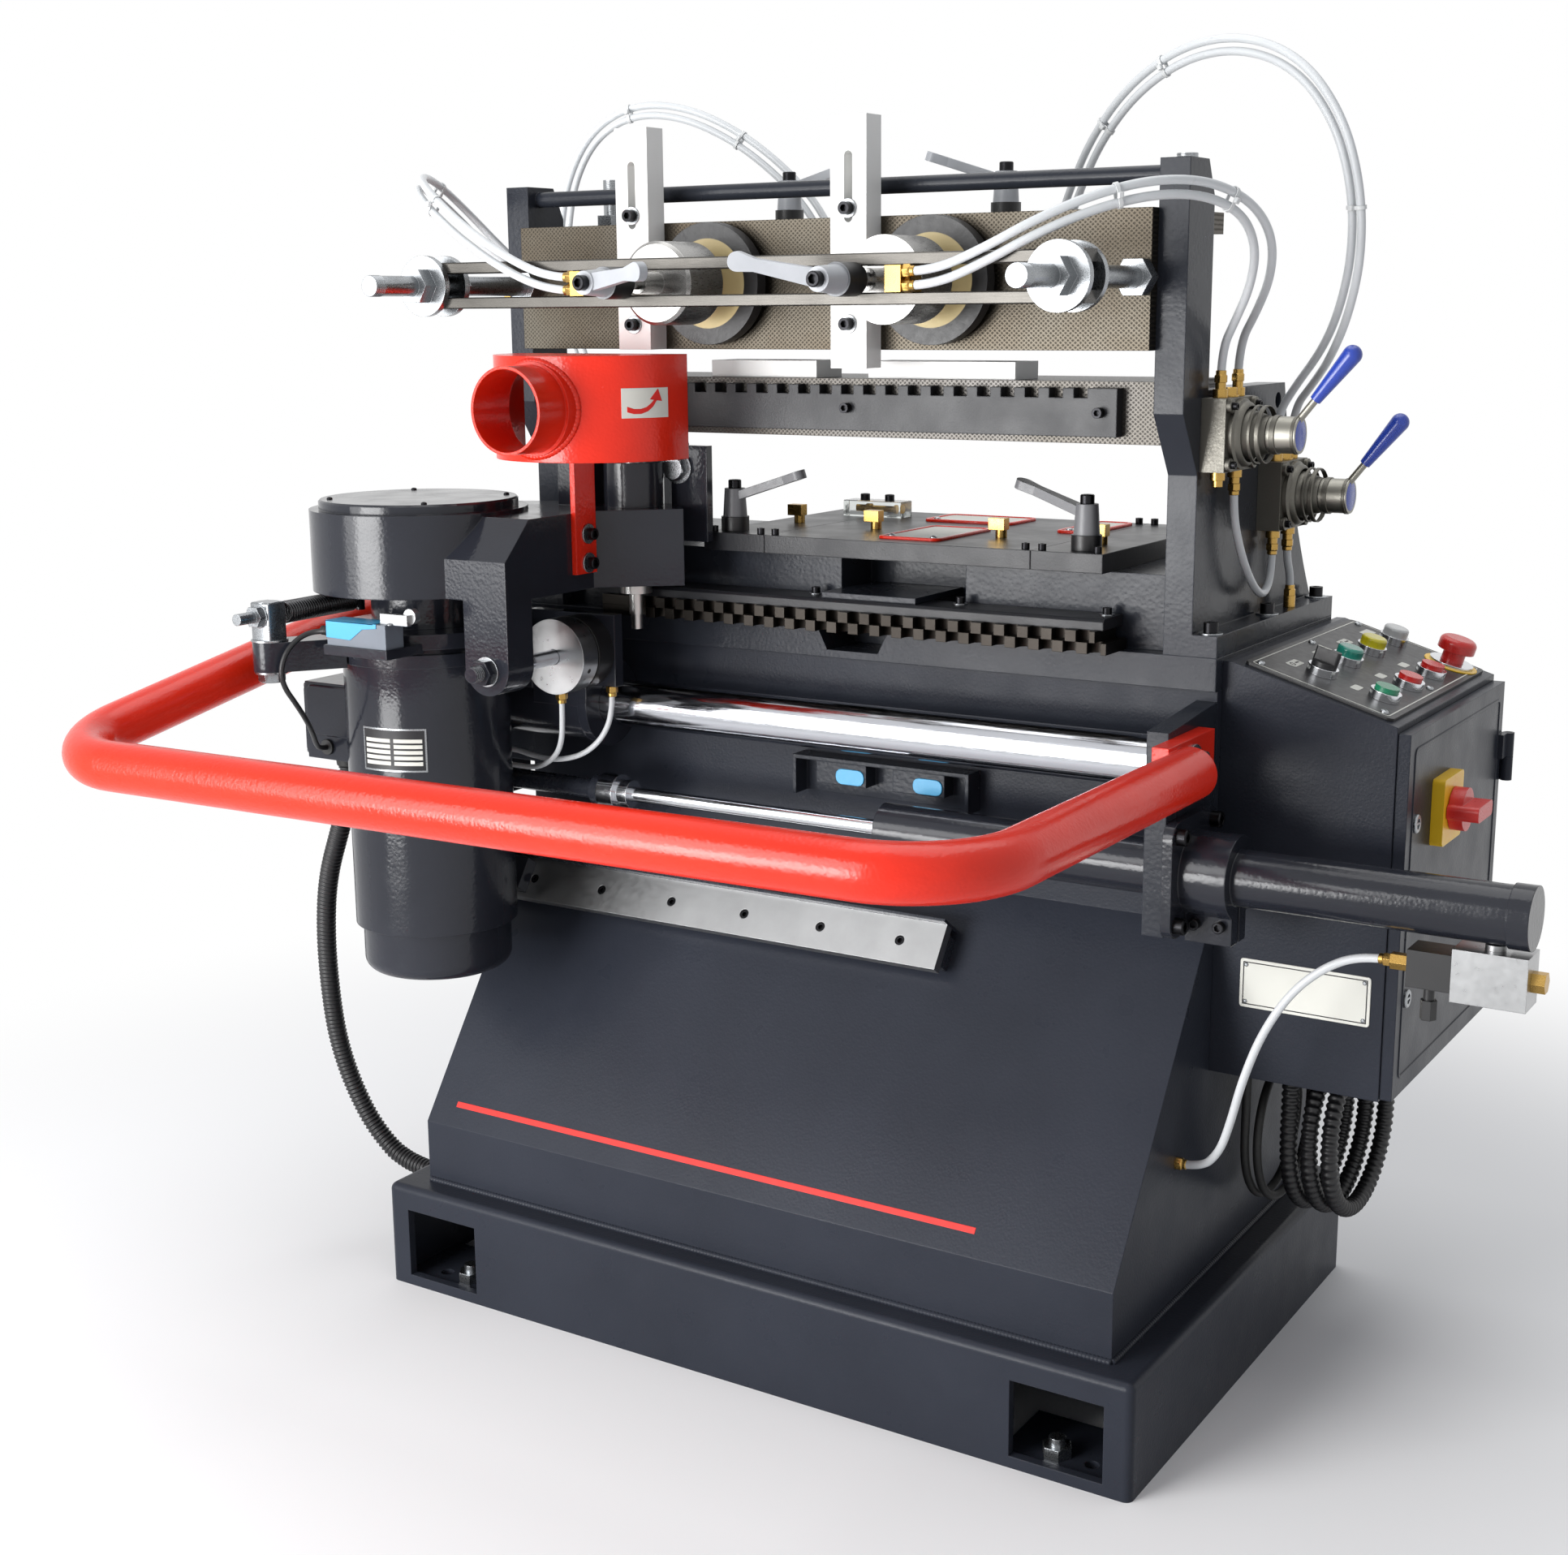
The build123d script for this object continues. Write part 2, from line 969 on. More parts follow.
# Clamp beam: a scraped front plate and a top plate with two slots
beam_front_back = beam_front + beam_plate
with BuildPart() as clamp_beam:
    block((-tower_inner, tower_inner), (beam_front, beam_front_back), (beam_bottom, beam_top))
    block((-tower_inner, tower_inner), (beam_front_back, beam_back), (beam_top - beam_top_plate, beam_top))
    for slot_x in (clamp_left_x, clamp_right_x):
        with BuildSketch(facing_up(slot_x, down_clamp_y, beam_top)):
            SlotOverall(beam_slot_length, 2 * beam_slot_radius)
        extrude(amount=-beam_top_plate, mode=Mode.SUBTRACT)
    for stud_x in (-beam_stud_x, beam_stud_x):
        stud_plane = facing_up(stud_x, down_clamp_y, beam_top)
        rod(stud_plane, rail_stud_radius + slide_gap, -beam_top_plate, Mode.SUBTRACT)
clamp_beam.part.label = "clamp_beam"
export_step(clamp_beam.part, "parts/clamp_beam.step")

# Shelf: a steel bar between the towers that carries the flat board
with BuildPart() as shelf:
    block((-tower_inner, tower_inner), (shelf_front, shelf_back), (shelf_bottom, shelf_top))
shelf.part.label = "shelf"
export_step(shelf.part, "parts/shelf.step")

# Backing comb: a slotted bar in front of the shelf that stops the wood from splintering
backing_slots = int((backing_right - backing_left) / backing_slot_pitch) - 1
backing_middle = (backing_left + backing_right) / 2
with BuildPart() as backing_comb:
    block(
        (backing_left, backing_right),
        (shelf_front - backing_thickness, shelf_front),
        (backing_bottom, backing_top),
    )
    for index in range(backing_slots):
        slot_x = backing_middle + (index - (backing_slots - 1) / 2) * backing_slot_pitch
        block(
            (slot_x - backing_slot_width / 2, slot_x + backing_slot_width / 2),
            (shelf_front - backing_thickness, shelf_front),
            (backing_top - backing_slot_drop, backing_top),
            Mode.SUBTRACT,
        )
backing_comb.part.label = "backing_comb"
export_step(backing_comb.part, "parts/backing_comb.step")

# White fences: two uprights on the beam with a slot each, and two pads on the shelf
fence_front = beam_front - fence_thickness
with BuildPart() as work_fences:
    for fence_x, fence_bottom in ((fence_left_x, fence_left_bottom), (fence_right_x, fence_right_bottom)):
        block((fence_x, fence_x + fence_width), (fence_front, beam_front), (fence_bottom, fence_top))
        slot_plane = facing_front(fence_x + fence_width / 2, beam_front, fence_top - fence_slot_length)
        with BuildSketch(slot_plane):
            SlotOverall(fence_slot_length, 2 * fence_slot_radius, rotation=90)
        extrude(amount=fence_thickness, mode=Mode.SUBTRACT)
    pad_front = shelf_front + shelf_pad_setback
    for pad in (shelf_pad_left, shelf_pad_right):
        block(pad, (pad_front, pad_front + shelf_pad_depth), (shelf_top, shelf_top + shelf_pad_height))
work_fences.part.label = "work_fences"
export_step(work_fences.part, "parts/work_fences.step")

# Front rail: two flat bars, one over the other, gripped between washers on the studs
rail_front = rail_centre_y - rail_depth / 2
rail_back = rail_centre_y + rail_depth / 2
with BuildPart() as front_rail:
    for side in (-1, 1):
        bar_z = rail_centre_z + side * (rail_gap + rail_bar_height) / 2
        block(
            (-rail_half_length, rail_half_length),
            (rail_front, rail_back),
            (bar_z - rail_bar_height / 2, bar_z + rail_bar_height / 2),
        )
    chamfer(front_rail.edges().filter_by(Axis.X), rail_chamfer)
front_rail.part.label = "front_rail"
export_step(front_rail.part, "parts/front_rail.step")

# Studs, nuts and washers that carry the rail and the beam, and the bolts in the feet
with BuildPart() as studs:
    for side in (-1, 1):
        at_x = side * rail_stud_x
        rod(facing_front(at_x, beam_front, rail_centre_z), rail_stud_radius, beam_front - rail_stud_tip)
        nut(facing_front(at_x, beam_front, rail_centre_z), stud_nut_flats, rail_stud_radius, stud_nut_height)
        for seat in (rail_front, rail_back + washer_thickness):
            ring(facing_front(at_x, seat, rail_centre_z), washer_radius, rail_stud_radius, washer_thickness)
        for seat in (rail_front - washer_thickness, rail_back + washer_thickness + stud_nut_height):
            nut(facing_front(at_x, seat, rail_centre_z), stud_nut_flats, rail_stud_radius, stud_nut_height)
        at_x = side * beam_stud_x
        rod(
            facing_up(at_x, down_clamp_y, beam_stud_top - beam_stud_depth - beam_top_plate),
            rail_stud_radius,
            beam_stud_depth + beam_top_plate,
        )
        nut(facing_up(at_x, down_clamp_y, beam_top), stud_nut_flats, rail_stud_radius, stud_nut_height)
        for end in (-1, 1):
            rod(facing_up(side * foot_x, end * foot_y, 0), foot_bolt_radius, foot_bolt_length)
            nut(
                facing_up(side * foot_x, end * foot_y, floor_plate_thickness),
                foot_nut_flats,
                foot_bolt_radius,
                foot_nut_height,
            )
studs.part.label = "studs"
export_step(studs.part, "parts/studs.step")

# Clamp cylinders: two on the front rail and two under the beam, each with the stud of its lever
front_pad_front = beam_front - pad_gap - pad_ring_thickness
front_body_back = front_pad_front - pad_travel - pad_stop_gap
lever_seat_y = rail_front
lever_stud_end = lever_seat_y - lever_bush_height - lever_hub_height / 2
down_body_top = beam_top - beam_top_plate
down_body_bottom = down_body_top - down_cylinder_length
with BuildPart() as clamp_cylinders:
    for at_x in (clamp_left_x, clamp_right_x):
        front_axis = facing_front(at_x, front_body_back, rail_centre_z)
        rod(front_axis, front_cylinder_radius, front_body_back - front_cap_y)
        chamfer(clamp_cylinders.edges().filter_by(GeomType.CIRCLE).sort_by(Axis.Y)[0], front_cap_chamfer)
        neck_radius_in_rail = rail_gap / 2 - rail_neck_gap
        rod(facing_front(at_x, front_cap_y, rail_centre_z), neck_radius_in_rail, front_cap_y - rail_back)
        rod(facing_front(at_x, rail_back, rail_centre_z), lever_stud_radius, rail_back - lever_stud_end)
        front_bore = front_body_back - front_cap_y - clamp_end_wall
        rod(front_axis, clamp_rod_radius + slide_gap, front_bore, Mode.SUBTRACT)
        down_axis = facing_up(at_x, down_clamp_y, down_body_bottom)
        rod(down_axis, down_cylinder_radius, down_cylinder_length)
        rod(
            facing_up(at_x, down_clamp_y, down_body_top),
            lever_stud_radius,
            beam_top_plate + lever_bush_height / 2 + lever_hub_height / 2,
        )
        rod(down_axis, clamp_rod_radius + slide_gap, down_cylinder_length - clamp_end_wall, Mode.SUBTRACT)
clamp_cylinders.part.label = "clamp_cylinders"
export_step(clamp_cylinders.part, "parts/clamp_cylinders.step")

# Front pads: a ring on a rod that presses the upright board against the beam
with BuildPart() as front_pads:
    for at_x in (clamp_left_x, clamp_right_x):
        pad_plane = facing_front(at_x, front_pad_front + pad_ring_thickness, rail_centre_z)
        rod(pad_plane, pad_ring_radius, pad_ring_thickness)
        rod(pad_plane, pad_ring_radius - pad_ring_inset, pad_ring_thickness / 2, Mode.SUBTRACT)
        rod(
            facing_front(at_x, front_pad_front, rail_centre_z),
            clamp_rod_radius,
            front_pad_front - front_body_back + clamp_rod_hold,
        )
front_pads.part.label = "front_pads"
export_step(front_pads.part, "parts/front_pads.step")

# Down pads: a disc on a rod that presses the flat board onto the shelf
with BuildPart() as down_pads:
    for at_x in (clamp_left_x, clamp_right_x):
        rod(facing_up(at_x, down_clamp_y, down_pad_bottom), down_pad_radius, down_pad_thickness)
        rod(
            facing_up(at_x, down_clamp_y, down_pad_bottom + down_pad_thickness),
            clamp_rod_radius,
            down_body_bottom - down_pad_bottom - down_pad_thickness + down_travel + clamp_rod_hold,
        )
down_pads.part.label = "down_pads"
export_step(down_pads.part, "parts/down_pads.step")


def ratchet_lever(seat, bush_height):
    """A clamping lever: its axis is the seat's normal and its arm runs along the seat's X, rising."""
    rod(seat, lever_bush_radius, bush_height)
    hub = seat.offset(bush_height)
    cone(hub, lever_hub_radius, lever_hub_radius * lever_hub_taper, lever_hub_height)
    rise = math.radians(lever_arm_rise)
    along = seat.x_dir * math.cos(rise) + seat.z_dir * math.sin(rise)
    normal = seat.z_dir * math.cos(rise) - seat.x_dir * math.sin(rise)
    root = seat.offset(bush_height + lever_hub_height - lever_arm_drop)
    arm = Plane(origin=root.origin, x_dir=along, z_dir=normal)
    waist_x = lever_arm_length * lever_waist_place
    waist_y = lever_arm_root * lever_waist_width / 2
    with BuildSketch(arm) as arm_sketch:
        with BuildLine():
            Polyline(
                (0, -lever_arm_root / 2),
                (waist_x, -waist_y),
                (lever_arm_length, -lever_arm_tip / 2),
                (lever_arm_length, lever_arm_tip / 2),
                (waist_x, waist_y),
                (0, lever_arm_root / 2),
                close=True,
            )
        make_face()
        fillet(arm_sketch.vertices().sort_by(Axis.X)[-2:], lever_tip_round)
    extrude(arm_sketch.sketch, amount=lever_arm_thickness)
    bore_length = bush_height + lever_hub_height / 2 + lever_bore_extra
    rod(seat, lever_stud_radius + turn_gap, bore_length, Mode.SUBTRACT)


# Ratchet levers on the studs of the clamps and of the table plates
plate_top = plate_bottom + plate_thickness
low_bush = lever_bush_height / 2
to_front = (0, -1, 0)
to_top = (0, 0, 1)
to_right = (1, 0, 0)
to_left = (-1, 0, 0)
rail_left_way = (1, 0, rail_lever_rise_left)
rail_right_way = (-1, 0, rail_lever_rise_right)
rail_left_seat = Plane((clamp_left_x, lever_seat_y, rail_centre_z), rail_left_way, to_front)
rail_right_seat = Plane((clamp_right_x, lever_seat_y, rail_centre_z), rail_right_way, to_front)
beam_left_seat = Plane((clamp_left_x, down_clamp_y, beam_top), turned(to_right, beam_lever_turn), to_top)
beam_right_seat = Plane((clamp_right_x, down_clamp_y, beam_top), turned(to_left, beam_lever_turn), to_top)
table_left_way = turned(to_right, table_lever_turn)
table_left_seat = Plane((table_lever_left_x, table_lever_y, plate_top), table_left_way, to_top)
table_right_way = turned(to_left, -table_lever_turn)
table_right_seat = Plane((table_lever_right_x, table_lever_y, plate_top), table_right_way, to_top)
lever_seats = {
    "rail_lever_left": (rail_left_seat, lever_bush_height),
    "rail_lever_right": (rail_right_seat, lever_bush_height),
    "beam_lever_left": (beam_left_seat, low_bush),
    "beam_lever_right": (beam_right_seat, low_bush),
    "table_lever_left": (table_left_seat, low_bush),
    "table_lever_right": (table_right_seat, low_bush),
}
for lever_name, (lever_seat, lever_bush) in lever_seats.items():
    with BuildPart() as lever:
        ratchet_lever(lever_seat, lever_bush)
    lever.part.label = lever_name
    export_step(lever.part, f"parts/{lever_name}.step")

# Guide bar that the carriage slides on
guide_right = column_half_length
with BuildPart() as guide_bar:
    rod(facing_x(guide_left, guide_y, guide_z), guide_radius, guide_right - guide_left)
    chamfer(guide_bar.edges(), guide_chamfer)
guide_bar.part.label = "guide_bar"
export_step(guide_bar.part, "parts/guide_bar.step")

# Brackets at the two ends of the guide bar; the left one stands off the column on an outrigger
right_bracket_profile = [
    (bracket_front, bracket_bottom),
    (bracket_front, bracket_top - bracket_top_slope / 2),
    (column_front, bracket_top + bracket_top_slope / 2),
    (column_front, bracket_bottom),
]
left_bracket_profile = [
    (bracket_front, bracket_bottom),
    (bracket_front, left_bracket_top),
    (outrigger_back, left_bracket_top),
    (outrigger_back, bracket_bottom),
]
with BuildPart() as bar_brackets:
    outline(Plane.YZ.offset(guide_right - bracket_thickness), right_bracket_profile, bracket_thickness)
    outline(Plane.YZ.offset(guide_left), left_bracket_profile, bracket_thickness)
    block(
        (guide_left + bracket_thickness, -column_half_length),
        (column_front + 2 * slide_gap, outrigger_back),
        (outrigger_bottom, outrigger_top),
    )
    rod(facing_x(guide_left, guide_y, guide_z), guide_radius, guide_right - guide_left, Mode.SUBTRACT)
    rod(
        facing_x(guide_right - bracket_thickness, feed_y, feed_z),
        feed_barrel_radius,
        bracket_thickness,
        Mode.SUBTRACT,
    )
bar_brackets.part.label = "bar_brackets"
export_step(bar_brackets.part, "parts/bar_brackets.step")

# Guard bar: a bent tube round the front, with a plate at each end
guard_right_x = column_half_length + guard_plate + guard_radius
guard_left_x = guide_left - guard_plate - guard_radius
guard_left_corner_z = guard_left_low_z - (guard_left_end_z - guard_left_low_z) * (
    (guard_left_low_y - guard_front) / (guard_left_end_y - guard_left_low_y)
)
guard_points = [
    (guard_right_x, guard_right_end, guard_z),
    (guard_right_x, guard_front, guard_z),
    (guard_left_x, guard_front, guard_left_corner_z),
    (guard_left_x, guard_left_end_y, guard_left_end_z),
]
with BuildPart() as guard_bar:
    with BuildLine() as guard_path:
        FilletPolyline(*guard_points, radius=guard_bend)
    with BuildSketch(Plane(origin=guard_path.line @ 0, z_dir=guard_path.line % 0)):
        Circle(guard_radius)
    sweep()
    block(
        (column_half_length, column_half_length + guard_plate + guard_pad),
        (guard_right_end - guard_plate_lap, guard_right_end + guard_right_plate),
        (guard_z - guard_radius, guard_z + guard_radius),
    )
    block(
        (guide_left - guard_plate - guard_pad, guide_left),
        (guard_left_end_y - guard_plate_lap, guard_left_end_y + guard_left_plate),
        (guard_left_end_z - guard_radius, guard_left_end_z + guard_radius),
    )
    with BuildSketch(Plane(origin=guard_path.line @ 0, z_dir=guard_path.line % 0)):
        Circle(guard_radius - guard_wall)
    sweep(path=guard_path.line, mode=Mode.SUBTRACT)
guard_bar.part.label = "guard_bar"
export_step(guard_bar.part, "parts/guard_bar.step")

# Lower rail: a steel strip on a bar that is welded to the sloping front, under a lip
slope_at_rail = column_toe_front + (lower_rail_z - toe_top) * slope_run / slope_rise
slope_plane = Plane(
    origin=(0, slope_at_rail, lower_rail_z), x_dir=(1, 0, 0), z_dir=(0, -slope_up[1], slope_up[0])
)
lower_rail_middle = (lower_rail_left + lower_rail_right) / 2
lower_rail_length = lower_rail_right - lower_rail_left
rail_screws = []
for index in range(rail_screw_count):
    share = (index + 0.5) / rail_screw_count
    rail_face = (lower_rail_left + share * lower_rail_length, 0, lower_mount_thickness + lower_rail_thickness)
    rail_place = slope_plane.from_local_coords(rail_face)
    rail_screws.append(Plane(origin=rail_place, x_dir=slope_plane.x_dir, z_dir=slope_plane.z_dir))
with BuildPart() as lower_mount:
    with BuildSketch(slope_plane):
        with Locations((lower_rail_middle, 0)):
            Rectangle(lower_rail_length, lower_mount_height)
    extrude(amount=lower_mount_thickness)
    with BuildSketch(slope_plane):
        with Locations((lower_rail_middle, lower_rail_height / 2 + rail_lip_thickness / 2)):
            Rectangle(lower_rail_length, rail_lip_thickness)
    extrude(amount=lower_mount_thickness + lower_rail_thickness + rail_lip_reach)
with BuildPart() as lower_strip:
    with BuildSketch(slope_plane.offset(lower_mount_thickness)):
        with Locations((lower_rail_middle, 0)):
            Rectangle(lower_rail_length, lower_rail_height)
    extrude(amount=lower_rail_thickness)
    for rail_screw in rail_screws:
        rod(rail_screw, rail_screw_radius + slide_gap, -rail_screw_sink, Mode.SUBTRACT)
lower_rail = Compound(label="lower_rail", children=[lower_mount.part, lower_strip.part])
export_step(lower_rail, "parts/lower_rail.step")

# Feed cylinder: a barrel through the right bracket, with a flange, a split sleeve and an end cap
feed_axis = facing_x(feed_barrel_left, feed_y, feed_z)
feed_length = feed_barrel_right - feed_barrel_left
flange_plane = facing_x(column_half_length, feed_y, feed_z)
sleeve_plane = flange_plane.offset(feed_flange_thickness)
sleeve_start = column_half_length + feed_flange_thickness
sleeve_x = (sleeve_start, sleeve_start + feed_sleeve_length)
ear_bottom = feed_z - feed_sleeve_radius - feed_ear_drop
with BuildPart() as feed_cylinder:
    rod(feed_axis, feed_barrel_radius, feed_length)
    rod(facing_x(feed_barrel_right, feed_y, feed_z), feed_barrel_radius + feed_cap_step, feed_cap_length)
    with BuildSketch(flange_plane):
        RectangleRounded(feed_flange, feed_flange, feed_flange_corner)
    extrude(amount=feed_flange_thickness)
    rod(sleeve_plane, feed_sleeve_radius, feed_sleeve_length)
    block(sleeve_x, (feed_y - feed_ear_half, feed_y + feed_ear_half), (ear_bottom, feed_z))
    block(
        sleeve_x,
        (feed_y - feed_split_half, feed_y + feed_split_half),
        (ear_bottom, feed_z - feed_barrel_radius - feed_split_wall),
        Mode.SUBTRACT,
    )
    rod(feed_axis.offset(feed_gland), feed_bore_radius, feed_length - feed_gland, Mode.SUBTRACT)
    rod(feed_axis, feed_rod_radius + slide_gap, feed_gland, Mode.SUBTRACT)
feed_cylinder.part.label = "feed_cylinder"
export_step(feed_cylinder.part, "parts/feed_cylinder.step")

# Exhaust valve and flow control under the end of the feed cylinder
exhaust_top = feed_z - feed_barrel_radius - exhaust_neck
exhaust_z = exhaust_top - exhaust_height / 2
exhaust_left = exhaust_x - exhaust_length / 2
flow_bottom = exhaust_z - flow_size / 2
with BuildPart() as exhaust_valve:
    block(
        (exhaust_left, exhaust_left + exhaust_length),
        (feed_y - exhaust_depth / 2, feed_y + exhaust_depth / 2),
        (exhaust_top - exhaust_height, exhaust_top),
    )
    rod(facing_up(exhaust_x, feed_y, exhaust_top), exhaust_neck_radius, exhaust_neck)
    block(
        (flow_x - flow_size / 2, exhaust_left),
        (feed_y - flow_size / 2, feed_y + flow_size / 2),
        (flow_bottom, flow_bottom + flow_size),
    )
    rod(facing_up(flow_x, feed_y, flow_bottom), flow_stem_radius, -flow_stem)
    hexagon(facing_up(flow_x, feed_y, flow_bottom - flow_stem), flow_knob_flats, -flow_knob)
exhaust_valve.part.label = "exhaust_valve"
export_step(exhaust_valve.part, "parts/exhaust_valve.step")

# Feed rod: chrome rod with its piston, stop collars and the tube that ties it to the carriage leg
rod_left = feed_barrel_left - feed_rod_visible
piston_x = feed_barrel_left + feed_gland + feed_piston_gap
collar_low = collar_length * collar_low_share
collar_middle = collar_length * collar_middle_share
with BuildPart() as feed_rod:
    rod(facing_x(rod_left, feed_y, feed_z), feed_rod_radius, piston_x - rod_left)
    rod(facing_x(piston_x, feed_y, feed_z), feed_bore_radius - slide_gap, feed_piston_length)
    collar_plane = facing_x(rod_left - collar_length, feed_y, feed_z)
    rod(collar_plane, collar_radius - collar_low_step, collar_low)
    rod(collar_plane.offset(collar_low), collar_radius, collar_middle)
    rod(
        collar_plane.offset(collar_low + collar_middle),
        collar_radius - collar_high_step,
        collar_length - collar_low - collar_middle,
    )
    rod(facing_x(leg_right, feed_y, feed_z), tie_tube_radius, rod_left - collar_length - leg_right)
feed_rod.part.label = "feed_rod"
export_step(feed_rod.part, "parts/feed_rod.step")

# Stop switches: a folded channel on the column face with two switches hung in it
switch_y = (column_front - switch_plate_reach, column_front)
switch_span = switch_plate_right - switch_plate_left
switch_roof = switch_plate_top - switch_plate_sheet
with BuildPart() as switch_channel:
    block((switch_plate_left, switch_plate_right), switch_y, (switch_plate_bottom, switch_plate_top))
    block(
        (switch_plate_left + switch_plate_sheet, switch_plate_right - switch_plate_sheet),
        (switch_y[0], switch_y[1] - switch_plate_sheet),
        (switch_plate_bottom, switch_roof),
        Mode.SUBTRACT,
    )
with BuildPart() as column_switches:
    for share in switch_shares:
        switch_x = switch_plate_left + share * switch_span
        block(
            (switch_x - switch_body_width / 2, switch_x + switch_body_width / 2),
            (switch_y[0] + switch_setback, switch_y[1] - switch_plate_sheet),
            (switch_roof - switch_body_height, switch_roof),
        )
stop_switches = Compound(label="stop_switches", children=[switch_channel.part, column_switches.part])
export_step(stop_switches, "parts/stop_switches.step")

# Carriage: a hub on the guide bar, a saddle for the motor, a leg with a shoe, and the brackets on them
pivot = (pivot_x, pivot_y)
spring_reach = Vector(spring_post_x - pivot_x, spring_post_y - pivot_y, 0)
spring_side = spring_reach.normalized().rotate(Axis.Z, 90) * spring_arm_radius
shoe_offset = lower_mount_thickness + lower_rail_thickness + slide_gap
with BuildPart() as carriage:
    rod(facing_x(hub_left, guide_y, guide_z), hub_radius, hub_right - hub_left)
    rod(facing_x(hub_right - hub_flange_length, guide_y, guide_z), hub_flange_radius, hub_flange_length)
    block((web_left, web_right), (pivot_y + motor_radius + web_motor_gap, web_rear), (web_bottom, saddle_top))
    block((web_left, web_right), (pivot_y, web_rear), (saddle_bottom, saddle_top))
    rod(facing_up(*pivot, saddle_bottom), saddle_radius, saddle_top - saddle_bottom)
    rod(facing_up(*pivot, saddle_top), neck_radius, neck_top - saddle_top)
    rod(facing_up(*pivot, neck_top), journal_radius, journal_top - neck_top)
    block(
        (web_right, swing_plate_right),
        (swing_back, swing_plate_back),
        (swing_plate_bottom, swing_plate_top),
    )
    block((web_right, hub_right), (swing_back, guide_y), (guide_z, swing_plate_bottom + bridge_rise))
    rod(facing_front(swing_x, swing_plate_back + boss_length, swing_z), boss_radius, boss_length)
    block((leg_left, leg_right), (leg_front, leg_back), (leg_bottom, guide_z))
    with BuildSketch(slope_plane.offset(shoe_offset)):
        with Locations(((leg_left + leg_right) / 2, 0)):
            Rectangle(shoe_length, lower_rail_height - 2 * shoe_inset)
    extrude(amount=shoe_thickness)
    block((ledge_left, ledge_right), (ledge_front, pivot_y), (ledge_top - ledge_thickness, ledge_top))
    outline(
        facing_up(0, 0, spring_arm_bottom),
        [
            tuple(Vector(*pivot) + spring_side * spring_arm_root)[:2],
            tuple(Vector(*pivot) - spring_side * spring_arm_root)[:2],
            tuple(Vector(*pivot) + spring_reach - spring_side)[:2],
            tuple(Vector(*pivot) + spring_reach + spring_side)[:2],
        ],
        spring_arm_top - spring_arm_bottom,
    )
    spring_foot = facing_up(spring_post_x, spring_post_y, spring_arm_bottom)
    rod(spring_foot, spring_arm_radius, spring_arm_top - spring_arm_bottom)
    motor_room = motor_rim_radius + motor_pocket_gap
    rod(facing_up(*pivot, motor_cap_bottom), motor_room, saddle_bottom - motor_cap_bottom, Mode.SUBTRACT)
    rod(facing_up(*pivot, saddle_bottom), journal_bore, journal_top - saddle_bottom, Mode.SUBTRACT)
    rod(facing_x(hub_left, guide_y, guide_z), guide_radius + slide_gap, hub_right - hub_left, Mode.SUBTRACT)
carriage.part.label = "carriage"
export_step(carriage.part, "parts/carriage.step")

# Motor with its rim, fan cover and terminal box
with BuildPart() as motor:
    rod(facing_up(*pivot, motor_bottom), motor_radius, motor_top - motor_bottom)
    rod(facing_up(*pivot, motor_top - motor_rim_height), motor_rim_radius, motor_rim_height)
    rod(facing_up(*pivot, motor_top), motor_radius - motor_spigot_step, saddle_bottom - motor_top)
    rod(facing_up(*pivot, motor_cap_bottom), motor_cap_radius, motor_bottom - motor_cap_bottom)
    fillet(motor.edges().filter_by(GeomType.CIRCLE).sort_by(Axis.Z)[0], motor_cap_round)
    block(
        (terminal_left, pivot_x - motor_radius + terminal_lap),
        (terminal_front, terminal_back),
        (terminal_bottom, terminal_top),
    )
    shaft_room = saddle_bottom - motor_top + shaft_hold
    rod(facing_up(*pivot, motor_top - shaft_hold), motor_shaft_radius + turn_gap, shaft_room, Mode.SUBTRACT)
motor.part.label = "motor"
export_step(motor.part, "parts/motor.step")

# Spring post with its nuts and the eye bolt that holds the spring
post_top = spring_arm_top + post_height
eye_z = post_top - eye_drop
with BuildPart() as spring_post:
    rod(facing_up(spring_post_x, spring_post_y, spring_arm_top), post_radius, post_height)
    hexagon(facing_front(spring_post_x, spring_post_y - eye_nut_front, eye_z), eye_nut_flats, eye_nut_length)
    rod(facing_front(spring_post_x, spring_post_y, eye_z), eye_radius, eye_front)
    rod(facing_front(spring_post_x, spring_post_y + eye_back, eye_z), eye_radius, eye_back)
spring_post.part.label = "spring_post"
export_step(spring_post.part, "parts/spring_post.step")

# Limit switch on the ledge, with its roller on a short lever
limit_front = ledge_front + limit_setback
limit_top = ledge_top + limit_height
roller_front = ledge_front + limit_lever_front
roller_back = roller_front + limit_lever_depth + roller_width
with BuildPart() as arm_limit_switch:
    block(
        (ledge_left + limit_inset, ledge_right - limit_setback),
        (limit_front, limit_front + limit_depth),
        (ledge_top, limit_top),
    )
    block(
        (ledge_right - limit_lever_lap, ledge_right + limit_lever_reach),
        (roller_front, roller_front + limit_lever_depth),
        (limit_top, limit_top + limit_lever_height),
    )
    rod(
        facing_front(ledge_right + roller_reach, roller_back, ledge_top + roller_rise),
        roller_radius,
        roller_width,
    )
arm_limit_switch.part.label = "arm_limit_switch"
export_step(arm_limit_switch.part, "parts/arm_limit_switch.step")

